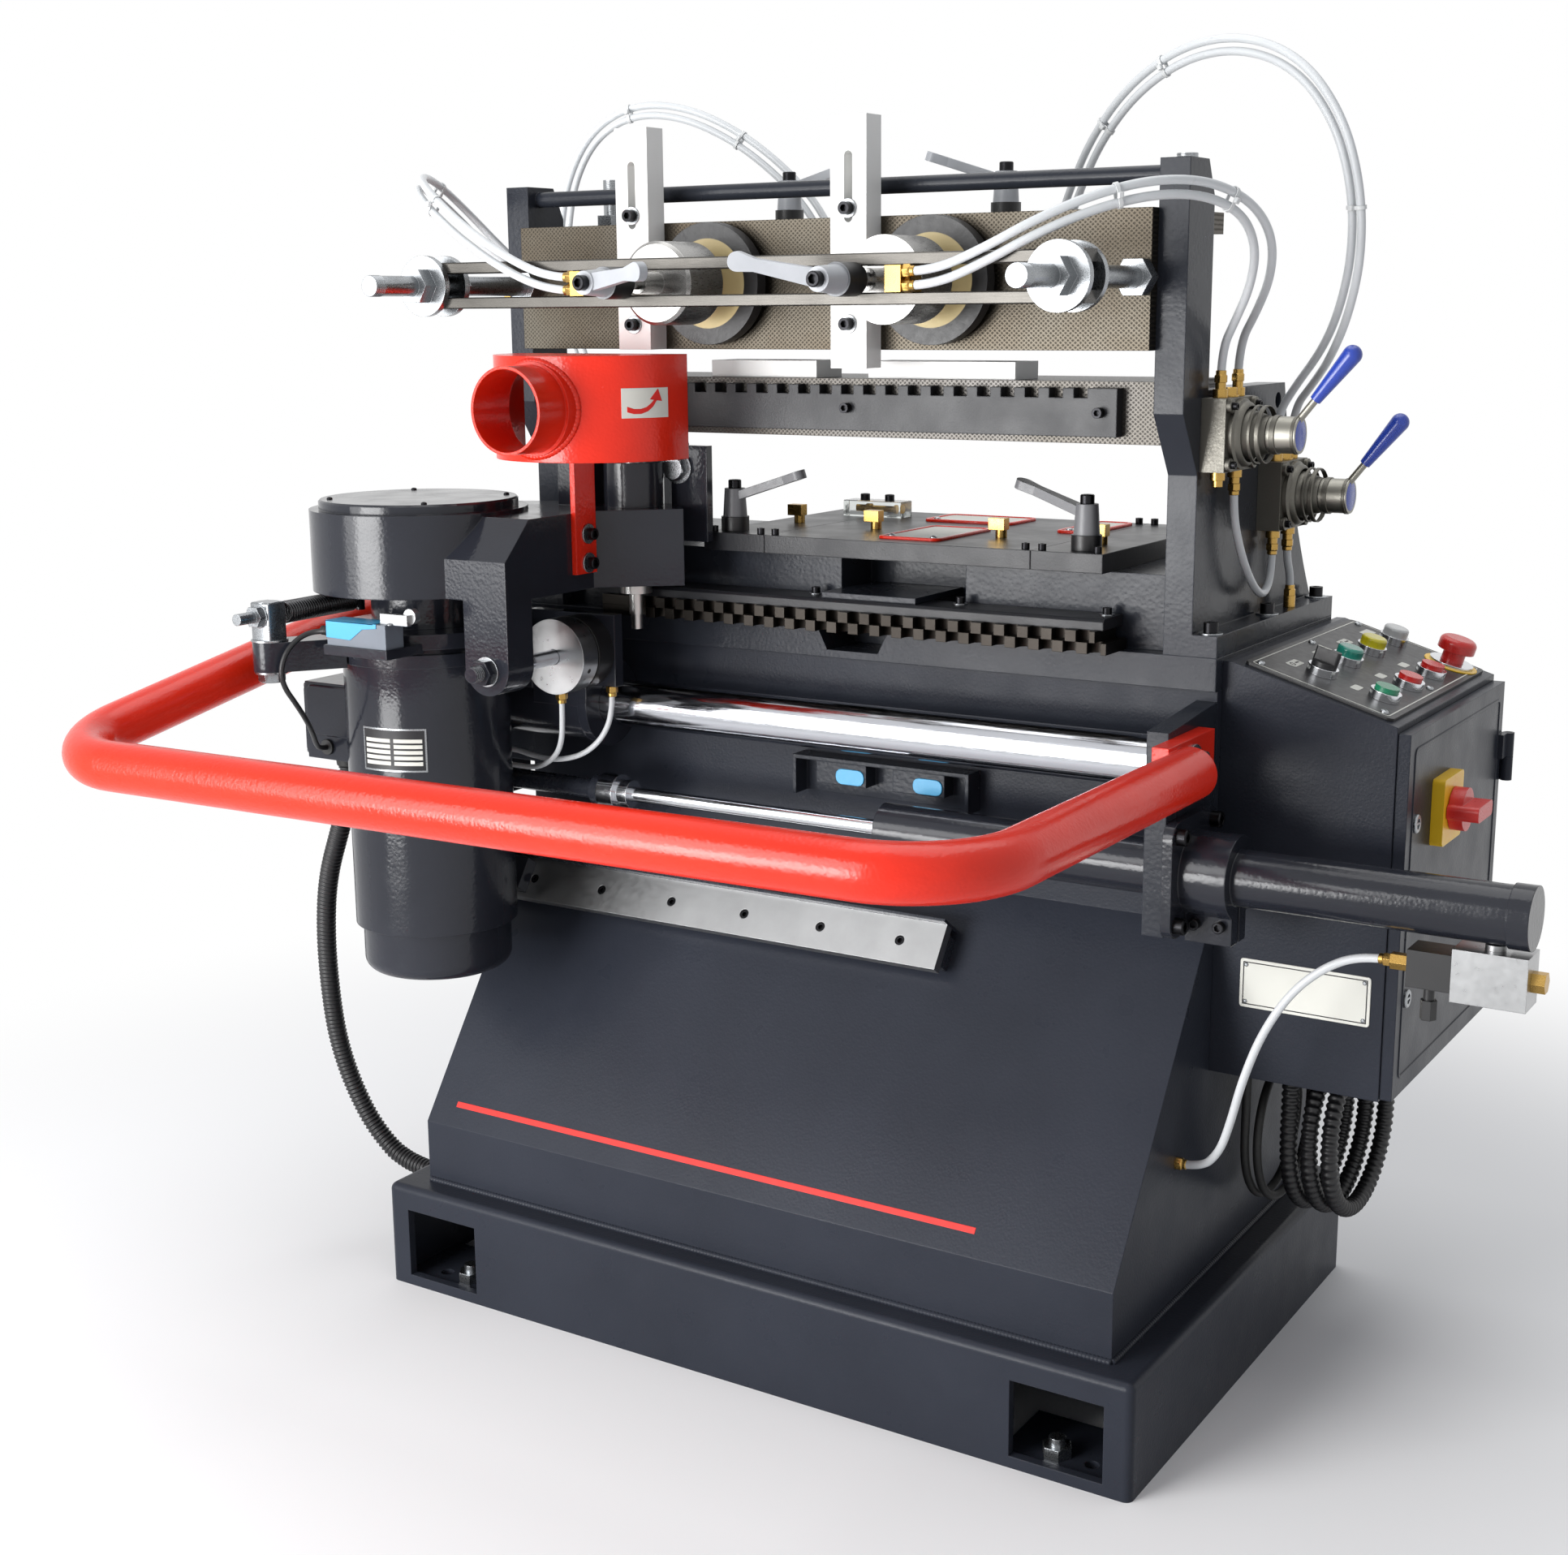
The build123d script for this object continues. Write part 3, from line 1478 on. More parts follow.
# Swing cylinder that pushes the arm out, with its rod and piston
swing_axis = facing_front(swing_x, swing_back, swing_z)
swing_room = swing_back - swing_front - swing_back_wall - swing_front_wall
with BuildPart() as swing_cylinder:
    rod(swing_axis, swing_radius - swing_barrel_step, swing_back - swing_front)
    rod(facing_front(swing_x, swing_front + swing_cap_length, swing_z), swing_radius, swing_cap_length)
    rod(swing_axis.offset(swing_back_wall), swing_bore, swing_room, Mode.SUBTRACT)
    rod(swing_axis, swing_rod_radius + slide_gap, swing_back - swing_front, Mode.SUBTRACT)
swing_cylinder.part.label = "swing_cylinder"
export_step(swing_cylinder.part, "parts/swing_cylinder.step")

with BuildPart() as swing_rod:
    piston_plane = swing_axis.offset(swing_back_wall + swing_piston_gap)
    rod(piston_plane, swing_rod_radius, piston_plane.origin.Y - swing_rod_tip)
    rod(piston_plane, swing_bore - slide_gap, swing_piston_length)
swing_rod.part.label = "swing_rod"
export_step(swing_rod.part, "parts/swing_rod.step")

# Swinging arm: a round pulley housing on the journal, a leg that the rod pushes, and the spindle block
arm_bottom = neck_top + seat_gap
arm_angle = math.degrees(math.atan2(spindle_y - pivot_y, spindle_x - pivot_x))
along = turned((1, 0, 0), arm_angle)
across = turned((0, -1, 0), arm_angle)
spindle_point = Vector(spindle_x, spindle_y)
block_left = spindle_point - along * block_half_width + across * block_reach
block_right = spindle_point + along * block_half_width + across * block_reach
block_rear = block_right - across * ((arm_back - block_right.Y) / -across.Y)
arm_plan = [
    (arm_left, arm_front),
    (arm_right, arm_front),
    (arm_right, block_left.Y),
    (block_right.X, block_right.Y),
    (block_rear.X, block_rear.Y),
    (spindle_x - block_half_width, arm_back),
    tuple(Vector(*pivot) + turned((housing_radius, 0, 0), housing_lap_angle))[:2],
    (pivot_x - housing_radius * housing_lap_share, pivot_y),
]
leg_middle_x = (arm_leg_left + arm_right) / 2
leg_half_width = (arm_right - arm_leg_left) / 2
with BuildPart() as arm_casting:
    outline(facing_up(0, 0, arm_bottom), arm_plan, arm_top - arm_bottom)
    outline(
        Plane.YZ.offset(arm_left - housing_radius),
        [
            (arm_front, arm_top),
            (arm_front, arm_top - arm_chamfer),
            (arm_front + arm_chamfer, arm_top),
        ],
        arm_right - arm_left + housing_radius,
        Mode.SUBTRACT,
    )
    rod(facing_up(*pivot, arm_bottom), housing_radius, housing_top - arm_bottom)
    block(
        (arm_leg_left, arm_right),
        (arm_front, arm_front + arm_leg_thickness),
        (arm_leg_bottom + leg_half_width, arm_bottom),
    )
    rod(
        facing_front(leg_middle_x, arm_front + arm_leg_thickness, arm_leg_bottom + leg_half_width),
        leg_half_width,
        arm_leg_thickness,
    )
    rod(facing_front(swing_x, arm_front, swing_z), leg_stud_radius, arm_front - leg_stud_tip)
    hexagon(facing_front(swing_x, arm_front, swing_z), leg_nut_flats, leg_nut_height)
    pad_stud_end = arm_front + arm_leg_thickness + pad_stud_length
    rod(facing_front(swing_x, pad_stud_end, swing_z), pad_stud_radius, pad_stud_length)
    rod(facing_up(spindle_x, spindle_y, arm_top), cartridge_radius, cartridge_top - arm_top)
    upright_y = (arm_back - upright_thickness, arm_back)
    block((upright_left, upright_right), upright_y, (arm_top - upright_lap, upright_top))
    fillet(arm_casting.edges().filter_by(Axis.Y).sort_by(Axis.Z)[-1], upright_round)
    hood_post_y = (spindle_y - post_depth_on_arm, spindle_y)
    block((post_left, post_right), hood_post_y, (arm_top, hood_bottom - seat_gap))
    spring_pin_plane = facing_up(pivot_x - spring_pin_x, pivot_y + spring_pin_y, arm_bottom)
    rod(spring_pin_plane, spring_pin_radius, -spring_pin_length)
    rod(
        facing_up(*pivot, arm_bottom + housing_floor),
        housing_bore,
        housing_top - arm_bottom - housing_floor,
        Mode.SUBTRACT,
    )
    rod(facing_up(*pivot, arm_bottom), journal_radius + turn_gap, housing_floor, Mode.SUBTRACT)
    with BuildSketch(facing_up(0, 0, belt_channel_bottom)):
        with BuildLine():
            Polyline(
                tuple(Vector(*pivot) + across * belt_channel_width * channel_wide)[:2],
                tuple(spindle_point + across * belt_channel_width * channel_front)[:2],
                tuple(spindle_point - across * belt_channel_width * channel_rear)[:2],
                tuple(Vector(*pivot) - across * belt_channel_width * channel_wide)[:2],
                close=True,
            )
        make_face()
        with Locations((spindle_x, spindle_y)):
            Circle(spindle_pulley_radius + belt_thickness + channel_gap)
    extrude(amount=belt_channel_top - belt_channel_bottom, mode=Mode.SUBTRACT)
    cartridge_plane = facing_up(spindle_x, spindle_y, arm_bottom)
    rod(cartridge_plane, spindle_radius + turn_gap, cartridge_top - arm_bottom, Mode.SUBTRACT)
with BuildPart() as pulley_cover:
    rod(facing_up(*pivot, housing_top), cover_radius, cover_thickness)
    chamfer(pulley_cover.edges().sort_by(Axis.Z)[-1], cover_chamfer)
arm = Compound(label="arm", children=[arm_casting.part, pulley_cover.part])
export_step(arm, "parts/arm.step")

# Motor pulley on the motor's shaft
with BuildPart() as motor_pulley:
    rod(facing_up(*pivot, motor_top - shaft_sink), motor_shaft_radius, pulley_top - motor_top + shaft_sink)
    rod(facing_up(*pivot, pulley_bottom), motor_pulley_radius, pulley_top - pulley_bottom)
    rod(facing_up(*pivot, pulley_top), motor_shaft_radius, shaft_end)
motor_pulley.part.label = "motor_pulley"
export_step(motor_pulley.part, "parts/motor_pulley.step")

# Belt round the two pulleys
belt_bottom = pulley_bottom + belt_inset
belt_height = pulley_top - pulley_bottom - 2 * belt_inset


def belt_loop(grow):
    """The outline round the two pulleys, grown by an amount."""
    with Locations(pivot):
        Circle(motor_pulley_radius + grow)
    with Locations((spindle_x, spindle_y)):
        Circle(spindle_pulley_radius + grow)
    make_hull()


with BuildPart() as drive_belt:
    with BuildSketch(facing_up(0, 0, belt_bottom)):
        belt_loop(turn_gap + belt_thickness)
    extrude(amount=belt_height)
    with BuildSketch(facing_up(0, 0, belt_bottom)):
        belt_loop(turn_gap)
    extrude(amount=belt_height, mode=Mode.SUBTRACT)
drive_belt.part.label = "drive_belt"
export_step(drive_belt.part, "parts/drive_belt.step")

# Spindle: pulley in the middle, guide pin below and cutter above
with BuildPart() as spindle:
    rod(facing_up(spindle_x, spindle_y, nose_bottom), nose_radius, arm_bottom - seat_gap - nose_bottom)
    rod(facing_up(spindle_x, spindle_y, nose_bottom), spindle_radius, cartridge_top - nose_bottom)
    rod(facing_up(spindle_x, spindle_y, pulley_bottom), spindle_pulley_radius, pulley_top - pulley_bottom)
    rod(facing_up(spindle_x, spindle_y, pin_step), pin_radius, nose_bottom - pin_step)
    rod(facing_up(spindle_x, spindle_y, pin_bottom), pin_tip_radius, pin_step - pin_bottom)
    collet_bottom = cartridge_top + seat_gap
    rod(facing_up(spindle_x, spindle_y, collet_bottom), collet_radius, collet_top - collet_bottom)
    rod(facing_up(spindle_x, spindle_y, cartridge_top), spindle_radius, seat_gap)
    cutter_plane = facing_up(spindle_x, spindle_y, collet_top)
    cone(cutter_plane, cutter_low_radius, cutter_high_radius, cutter_top - collet_top)
spindle.part.label = "spindle"
export_step(spindle.part, "parts/spindle.step")

# Dust hood: a half drum open at the back, with a round port in front and a strap down to the arm
with BuildPart() as dust_hood:
    rod(facing_up(hood_x, hood_y, hood_bottom), hood_radius, hood_top - hood_bottom)
    block(
        (hood_x - 2 * hood_radius, hood_x + 2 * hood_radius),
        (hood_back, hood_y + 2 * hood_radius),
        (hood_bottom, hood_top),
        Mode.SUBTRACT,
    )
    rod(facing_front(hood_x, hood_y, port_z), port_radius, hood_y - port_front)
    rod(facing_front(hood_x, hood_y, port_z), port_root_radius, hood_y - port_root_front)
    rod(
        facing_up(hood_x, hood_y, hood_bottom + hood_wall),
        hood_radius - hood_wall,
        hood_top - hood_bottom - 2 * hood_wall,
        Mode.SUBTRACT,
    )
    rod(facing_front(hood_x, hood_y, port_z), port_radius - hood_wall, hood_y - port_front, Mode.SUBTRACT)
    hood_floor = facing_up(spindle_x, spindle_y, hood_bottom)
    rod(hood_floor, cartridge_radius + hood_hole_gap, hood_wall, Mode.SUBTRACT)
    block((arm_right, arm_right + strap_thickness), (strap_front, strap_back), (strap_bottom, hood_bottom))
dust_hood.part.label = "dust_hood"
export_step(dust_hood.part, "parts/dust_hood.step")

# Control box: a sheet case on the column's right side, with a sloping top and an opening for the door
box_left = column_half_length
slope_fall = (box_top - box_slope_end) / (box_right + door_thickness - box_slope_start)
box_right_top = box_top - slope_fall * (box_right - box_slope_start)
box_profile = [
    (box_left, box_bottom),
    (box_right, box_bottom),
    (box_right, box_right_top),
    (box_slope_start, box_top),
    (box_left, box_top),
]
lid_wall = box_wall * math.hypot(1, slope_fall)
box_hollow = [
    (box_left + box_wall, box_bottom + box_wall),
    (box_right - box_wall, box_bottom + box_wall),
    (box_right - box_wall, box_right_top + slope_fall * box_wall - lid_wall),
    (box_slope_start, box_top - lid_wall),
    (box_left + box_wall, box_top - lid_wall),
]
box_depth = box_back - box_front
door_bottom = box_bottom + door_lift
door_top = box_right_top - door_drop
hinge_x = box_right + door_thickness + hinge_radius
hinge_y = box_back + hinge_setback
hinge_heights = (box_bottom + hinge_low_rise, box_right_top - hinge_high_drop)
pin_radius_hinge = hinge_radius / 2
with BuildPart() as control_box:
    outline(Plane.XZ.offset(-box_back), box_profile, box_depth)
    outline(Plane.XZ.offset(-box_back + box_wall), box_hollow, box_depth - 2 * box_wall, Mode.SUBTRACT)
    block(
        (box_right - box_wall, box_right),
        (box_front + door_flange, box_back - door_flange),
        (box_bottom + door_flange, box_right_top - 2 * door_flange),
        Mode.SUBTRACT,
    )
    for hinge_z in hinge_heights:
        leaf_x = (box_right - hinge_box_leaf, hinge_x)
        block(leaf_x, (box_back, box_back + hinge_sheet), (hinge_z, hinge_z + hinge_leaf))
        rod(facing_up(hinge_x, hinge_y, hinge_z), hinge_radius, hinge_leaf)
        rod(facing_up(hinge_x, hinge_y, hinge_z + hinge_leaf), pin_radius_hinge, hinge_leaf)
control_box.part.label = "control_box"
export_step(control_box.part, "parts/control_box.step")

# Cabinet door on the right of the box, with the upper knuckles of its hinges
door_right = box_right + door_thickness
with BuildPart() as cabinet_door:
    door_y = (box_front + door_margin, box_back - door_margin)
    block((box_right + slide_gap, door_right), door_y, (door_bottom, door_top))
    for hinge_z in hinge_heights:
        knuckle_z = hinge_z + hinge_leaf + slide_gap
        leaf_y = (box_back - hinge_door_leaf, hinge_y)
        block((door_right - hinge_lap, hinge_x), leaf_y, (knuckle_z, knuckle_z + hinge_leaf))
        rod(facing_up(hinge_x, hinge_y, knuckle_z), hinge_radius, hinge_leaf)
        rod(facing_up(hinge_x, hinge_y, knuckle_z), pin_radius_hinge + turn_gap, hinge_leaf, Mode.SUBTRACT)
cabinet_door.part.label = "cabinet_door"
export_step(cabinet_door.part, "parts/cabinet_door.step")

# Disconnect switch on the door: a yellow plate and a red knob with a bar grip
disconnect_axis = facing_x(door_right, disconnect_y, disconnect_z)
knob_plane = disconnect_axis.offset(disconnect_plate_thickness)
with BuildPart() as disconnect_plate:
    with BuildSketch(disconnect_axis):
        RectangleRounded(disconnect_plate_size, disconnect_plate_size, disconnect_corner)
    extrude(amount=disconnect_plate_thickness)
    rod(knob_plane, disconnect_pin_radius, disconnect_knob_length / 2)
disconnect_plate.part.label = "disconnect_plate"
export_step(disconnect_plate.part, "parts/disconnect_plate.step")

with BuildPart() as disconnect_knob:
    knob_foot = knob_plane.offset(seat_gap)
    rod(knob_foot, disconnect_knob_radius, disconnect_knob_length * disconnect_disc_share)
    with BuildSketch(knob_foot):
        RectangleRounded(disconnect_grip_length, disconnect_grip_width, disconnect_corner)
    extrude(amount=disconnect_knob_length)
    rod(knob_foot, disconnect_pin_radius + turn_gap, disconnect_knob_length / 2, Mode.SUBTRACT)
disconnect_knob.part.label = "disconnect_knob"
export_step(disconnect_knob.part, "parts/disconnect_knob.step")

# Control panel on the sloping top, with a raised bezel for each lamp and button
slope_angle = math.degrees(math.atan(slope_fall))
panel_plane = Plane(
    origin=(box_slope_start, box_front, box_top),
    x_dir=(math.cos(math.radians(slope_angle)), 0, -math.sin(math.radians(slope_angle))),
    z_dir=(math.sin(math.radians(slope_angle)), 0, math.cos(math.radians(slope_angle))),
)
panel_length = (box_right - box_slope_start) / math.cos(math.radians(slope_angle))
bezel_top = panel_thickness + bezel_height


def panel_spot(row, column_index):
    """The panel's plane, moved to one of its two rows of controls."""
    spot_y = button_first_y - box_front + column_index * button_pitch
    place = panel_plane.from_local_coords((row, spot_y, 0))
    return Plane(origin=place, x_dir=panel_plane.x_dir, z_dir=panel_plane.z_dir)


lamp_spots = [panel_spot(button_row_lamps, index) for index in (1, 2, 3)]
selector_spot = panel_spot(button_row_lamps, 0)
push_spots = {
    "button_green": panel_spot(button_row_push, 0),
    "button_stop": panel_spot(button_row_push, 1),
    "button_red": panel_spot(button_row_push, 2),
}
emergency_spot = panel_spot(button_row_push, 3)
with BuildPart() as control_panel:
    with BuildSketch(panel_plane):
        with Locations((panel_length / 2, box_depth / 2)):
            RectangleRounded(panel_length - 2 * panel_margin, box_depth - 2 * panel_margin, panel_corner)
    extrude(amount=panel_thickness)
    for spot in [*lamp_spots, selector_spot, *push_spots.values()]:
        rod(spot, bezel_radius, bezel_top)
    rod(emergency_spot, stop_bezel_radius, panel_thickness + bezel_height / 2)
    for spot in [selector_spot, *push_spots.values(), emergency_spot]:
        rod(spot.offset(bezel_top), cap_radius + slide_gap, -cap_depth - press_travel, Mode.SUBTRACT)
control_panel.part.label = "control_panel"
export_step(control_panel.part, "parts/control_panel.step")

# Pilot lamps in their bezels
with BuildPart() as pilot_lamps:
    for spot in lamp_spots:
        rod(spot.offset(bezel_top), bezel_radius - lamp_inset, lamp_height)
    lamp_edges = pilot_lamps.edges().filter_by(GeomType.CIRCLE).sort_by(panel_plane.location.z_axis)
    fillet(lamp_edges[-len(lamp_spots):], lamp_round)
pilot_lamps.part.label = "pilot_lamps"
export_step(pilot_lamps.part, "parts/pilot_lamps.step")

# Push buttons, each a cap that sits in its bezel
for button_name, spot in push_spots.items():
    with BuildPart() as push_button:
        rod(spot.offset(bezel_top - cap_depth + seat_gap), cap_radius, cap_depth + cap_rise)
    push_button.part.label = button_name
    export_step(push_button.part, f"parts/{button_name}.step")

# Selector: a round base with a bar grip
with BuildPart() as selector_knob:
    rod(selector_spot.offset(bezel_top - cap_depth + seat_gap), cap_radius, cap_depth + cap_rise)
    with BuildSketch(selector_spot.offset(bezel_top)):
        RectangleRounded(grip_length, grip_width, grip_corner)
    extrude(amount=grip_height)
selector_knob.part.label = "selector_knob"
export_step(selector_knob.part, "parts/selector_knob.step")

# Emergency stop: a mushroom head on a stem
with BuildPart() as emergency_stop:
    rod(emergency_spot.offset(bezel_top - cap_depth + seat_gap), cap_radius, cap_depth + stop_stem)
    rod(emergency_spot.offset(bezel_top + stop_head_rise), stop_head_radius, stop_head_height)
    head_edges = emergency_stop.edges().filter_by(GeomType.CIRCLE).sort_by(panel_plane.location.z_axis)
    fillet(head_edges[-1], stop_head_round)
emergency_stop.part.label = "emergency_stop"
export_step(emergency_stop.part, "parts/emergency_stop.step")

# Hand valves on the right tower: a body, a round head and the pin that the lever turns on
valve_knob_start = tower_outer + valve_body_reach + valve_head_length
with BuildPart() as hand_valves:
    for valve_y, valve_z in (valve_upper, valve_lower):
        block(
            (tower_outer, tower_outer + valve_body_reach),
            (valve_y - valve_width / 2, valve_y + valve_width / 2),
            (valve_z - valve_height / 2, valve_z + valve_height / 2),
        )
        cone(
            facing_x(tower_outer + valve_body_reach, valve_y, valve_z),
            valve_head_radius,
            valve_knob_radius,
            valve_head_length,
        )
        rod(facing_x(valve_knob_start, valve_y, valve_z), valve_pin_radius, valve_knob_length / 2)
hand_valves.part.label = "hand_valves"
export_step(hand_valves.part, "parts/hand_valves.step")

# Valve levers: a knob on the head, a bent stem and a long grip, leaning out to the right
lean = Vector(0, 0, 1).rotate(Axis.Y, valve_lean)
valve_places = {"valve_lever_upper": valve_upper, "valve_lever_lower": valve_lower}
for valve_name, (valve_y, valve_z) in valve_places.items():
    stem_start = Vector(valve_knob_start + valve_knob_length * valve_stem_place, valve_y, valve_z)
    stem_plane = Plane(origin=tuple(stem_start), x_dir=(0, 1, 0), z_dir=tuple(lean))
    with BuildPart() as valve_lever:
        knob_axis = facing_x(valve_knob_start + seat_gap, valve_y, valve_z)
        rod(knob_axis, valve_knob_radius, valve_knob_length)
        rod(stem_plane, valve_stem_radius, valve_lever_length)
        grip_plane = stem_plane.offset(valve_lever_length - valve_grip_length * valve_grip_lap)
        cone(grip_plane, valve_grip_radius * valve_grip_taper, valve_grip_radius, valve_grip_length)
        with Locations(grip_plane.offset(valve_grip_length).location):
            Sphere(valve_grip_radius)
        rod(knob_axis, valve_pin_radius + turn_gap, valve_knob_length / 2, Mode.SUBTRACT)
    valve_lever.part.label = valve_name
    export_step(valve_lever.part, f"parts/{valve_name}.step")

# Brass fittings: elbows at the valves, on the table plates, at the clamps and at the exhaust valve
valve_elbows = [
    (valve_y + shift, valve_z)
    for valve_y, valve_z in (valve_upper, valve_lower)
    for shift in (-valve_elbow_y, valve_elbow_y)
]
with BuildPart() as pipe_fittings:
    for elbow_y, valve_z in valve_elbows:
        for side in (-1, 1):
            seat = facing_up(tower_outer + valve_body_reach / 2, elbow_y, valve_z + side * valve_height / 2)
            rod(seat, fitting_radius + fitting_step, side * fitting_nut)
            rod(seat.offset(side * fitting_nut), fitting_radius - fitting_step, side * fitting_neck)
    for elbow_x, elbow_y in table_elbows:
        rod(facing_up(elbow_x, elbow_y, plate_top), fitting_radius, table_stem)
        block(
            (elbow_x - fitting_radius - table_head_reach, elbow_x + fitting_radius),
            (elbow_y - fitting_radius, elbow_y + fitting_radius),
            (plate_top + table_head_low, plate_top + table_head_high),
        )
    for fitting_x in (rail_fitting_left, rail_fitting_right):
        block(
            (fitting_x - rail_fitting_half, fitting_x + rail_fitting_half),
            (rail_front - rail_fitting_reach, rail_back),
            (rail_centre_z - rail_gap / 2, rail_centre_z + rail_gap / 2),
        )
    for at_x in (clamp_left_x, clamp_right_x):
        rod(
            facing_front(at_x, down_clamp_y + down_cylinder_radius + down_fitting_reach, down_fitting_z),
            down_fitting_radius,
            down_fitting_reach,
        )
    for fitting_y, fitting_z in left_tower_fittings:
        block(
            (-tower_outer - tower_fitting_reach, -tower_outer),
            (fitting_y - tower_fitting_half, fitting_y + tower_fitting_half),
            (fitting_z - tower_fitting_half, fitting_z),
        )
    rod(facing_up(tower_outer + supply_reach, supply_y, flange_top), fitting_radius, table_stem)
    hexagon(facing_x(exhaust_x + exhaust_length / 2, feed_y, exhaust_z), exhaust_plug_flats, exhaust_plug)
    hexagon(facing_x(flow_x - flow_size / 2, feed_y, exhaust_z), flow_inlet_flats, -flow_inlet)
pipe_fittings.part.label = "pipe_fittings"
export_step(pipe_fittings.part, "parts/pipe_fittings.step")

# Cap screws on the flanges, the plates, the clamp bar, the fences, the lower rail and the backing comb
flange_screw_x = tower_inner + flange_width - flange_screw_inset
flange_middle = (web_front + table_back) / 2
flange_screws = (web_front + flange_screw_front, flange_middle, table_back - flange_screw_back)
backing_screw_z = (backing_bottom + backing_top) / 2
clamp_screw_y = (clamp_bar_back + clamp_bar_front) / 2 + clamp_screw_setback
with BuildPart() as machine_screws:
    for side in (-1, 1):
        for screw_y in flange_screws:
            cap_screw(facing_up(side * flange_screw_x, screw_y, flange_top), flange_screw_radius)
    for left, right in zip(plate_edges[:-1], plate_edges[1:]):
        for screw_x in (left + plate_screw_inset, right - plate_screw_inset):
            for screw_y in (plate_front + plate_screw_margin, plate_back - plate_screw_margin):
                cap_screw(facing_up(screw_x, screw_y, plate_top), plate_screw_radius)
    for screw_x in clamp_screws:
        cap_screw(facing_up(screw_x, clamp_screw_y, clamp_bar_top), clamp_screw_radius)
    for fence_x in (fence_left_x, fence_right_x):
        for screw_z in (beam_bottom + fence_screw_low, beam_top + fence_screw_high):
            cap_screw(facing_front(fence_x + fence_width / 2, fence_front, screw_z), screw_radius)
    for rail_screw in rail_screws:
        cap_screw(rail_screw.offset(-rail_screw_sink), rail_screw_radius)
    for screw_x in (backing_middle, backing_right - backing_screw_inset):
        backing_face = facing_front(screw_x, shelf_front - backing_thickness, backing_screw_z)
        cap_screw(backing_face, backing_screw_radius)
machine_screws.part.label = "machine_screws"
export_step(machine_screws.part, "parts/machine_screws.step")


def cord_radii(points):
    """The arc at each corner of a route, as large as the two runs beside it allow."""
    radii = []
    for before, corner, after in zip(points, points[1:], points[2:]):
        run_in = Vector(*corner) - Vector(*before)
        run_out = Vector(*after) - Vector(*corner)
        half_turn = math.radians(run_in.get_angle(run_out)) / 2
        radii.append(corner_share * min(run_in.length, run_out.length) / math.tan(half_turn))
    return radii


def cord(points, radius):
    """A round tube along a route with an arc at each corner; prints its length, least bend and volume."""
    radii = cord_radii(points)
    with BuildLine(mode=Mode.PRIVATE) as route:
        FilletPolyline(*points, radius=radii)
    path = route.wire()
    with BuildSketch(Plane(origin=path @ 0, z_dir=path % 0), mode=Mode.PRIVATE) as section:
        Circle(radius)
    sweep(section.sketch, path=path)
    section_times_length = round(math.pi * radius**2 * path.length)
    print("cord", round(path.length), "mm, least radius", round(min(radii)), "volume", section_times_length)


# Milky air tubes, most of them in tied pairs; the points are their routes
fitting_left_face = rail_fitting_left - rail_fitting_half
fitting_right_face = rail_fitting_right + rail_fitting_half
tower_fitting_x = -tower_outer - tower_fitting_reach / 2
down_fitting_back = down_clamp_y + down_cylinder_radius + down_fitting_reach
valve_port_x = tower_outer + valve_body_reach / 2
valve_port_rise = valve_height / 2 + fitting_nut + fitting_neck
upper_port = valve_upper[1] + valve_port_rise
lower_port = valve_lower[1] + valve_port_rise


def pair(route, side_way):
    """Two routes side by side; the way from one to the other stays square to the run and never twists."""
    points = [Vector(*point) for point in route]
    runs = [(after - before).normalized() for before, after in zip(points, points[1:])]
    headings = [(before + after).normalized() for before, after in zip(runs, runs[1:])]
    headings = [runs[0], runs[0], *headings[1:-1], runs[-1], runs[-1]]
    side = Vector(*side_way)
    first, second = [], []
    for point, heading in zip(points, headings):
        side = (side - heading * side.dot(heading)).normalized()
        first.append(tuple(point + side * (pair_step / 2)))
        second.append(tuple(point - side * (pair_step / 2)))
    return first, second


left_front_route = [
    (fitting_left_face, rail_fitting_y, rail_centre_z),
    (fitting_left_face - 28, rail_fitting_y, rail_centre_z),
    (-232, -290, 1114),
    (-284, -292, 1144),
    (-334, -280, 1174),
    (-tower_outer + 10, -250, 1196),
    (-tower_outer - 24, -206, 1204),
    (-tower_outer - 44, -158, 1196),
    (-tower_outer - 46, -116, 1172),
    (-tower_outer - 34, -86, 1142),
    (tower_fitting_x, left_tower_fittings[0][0], left_tower_fittings[0][1] + 26),
    (tower_fitting_x, left_tower_fittings[0][0], left_tower_fittings[0][1]),
]
rear_left_route = [
    (clamp_left_x, down_fitting_back, down_fitting_z),
    (clamp_left_x, down_fitting_back + 29, down_fitting_z),
    (-110, 116, 1116),
    (-122, 132, 1140),
    (-148, 138, 1180),
    (-190, 136, 1222),
    (-246, 130, 1262),
    (-310, 122, 1290),
    (-tower_outer + 16, 116, 1296),
    (-tower_outer - 36, 108, 1272),
    (-tower_outer - 64, 98, 1222),
    (-tower_outer - 70, 88, 1160),
    (-tower_outer - 64, 78, 1102),
    (-tower_outer - 48, 70, 1048),
    (-tower_outer - 26, 64, 1006),
    (tower_fitting_x, left_tower_fittings[1][0], left_tower_fittings[1][1] + 26),
    (tower_fitting_x, left_tower_fittings[1][0], left_tower_fittings[1][1]),
]
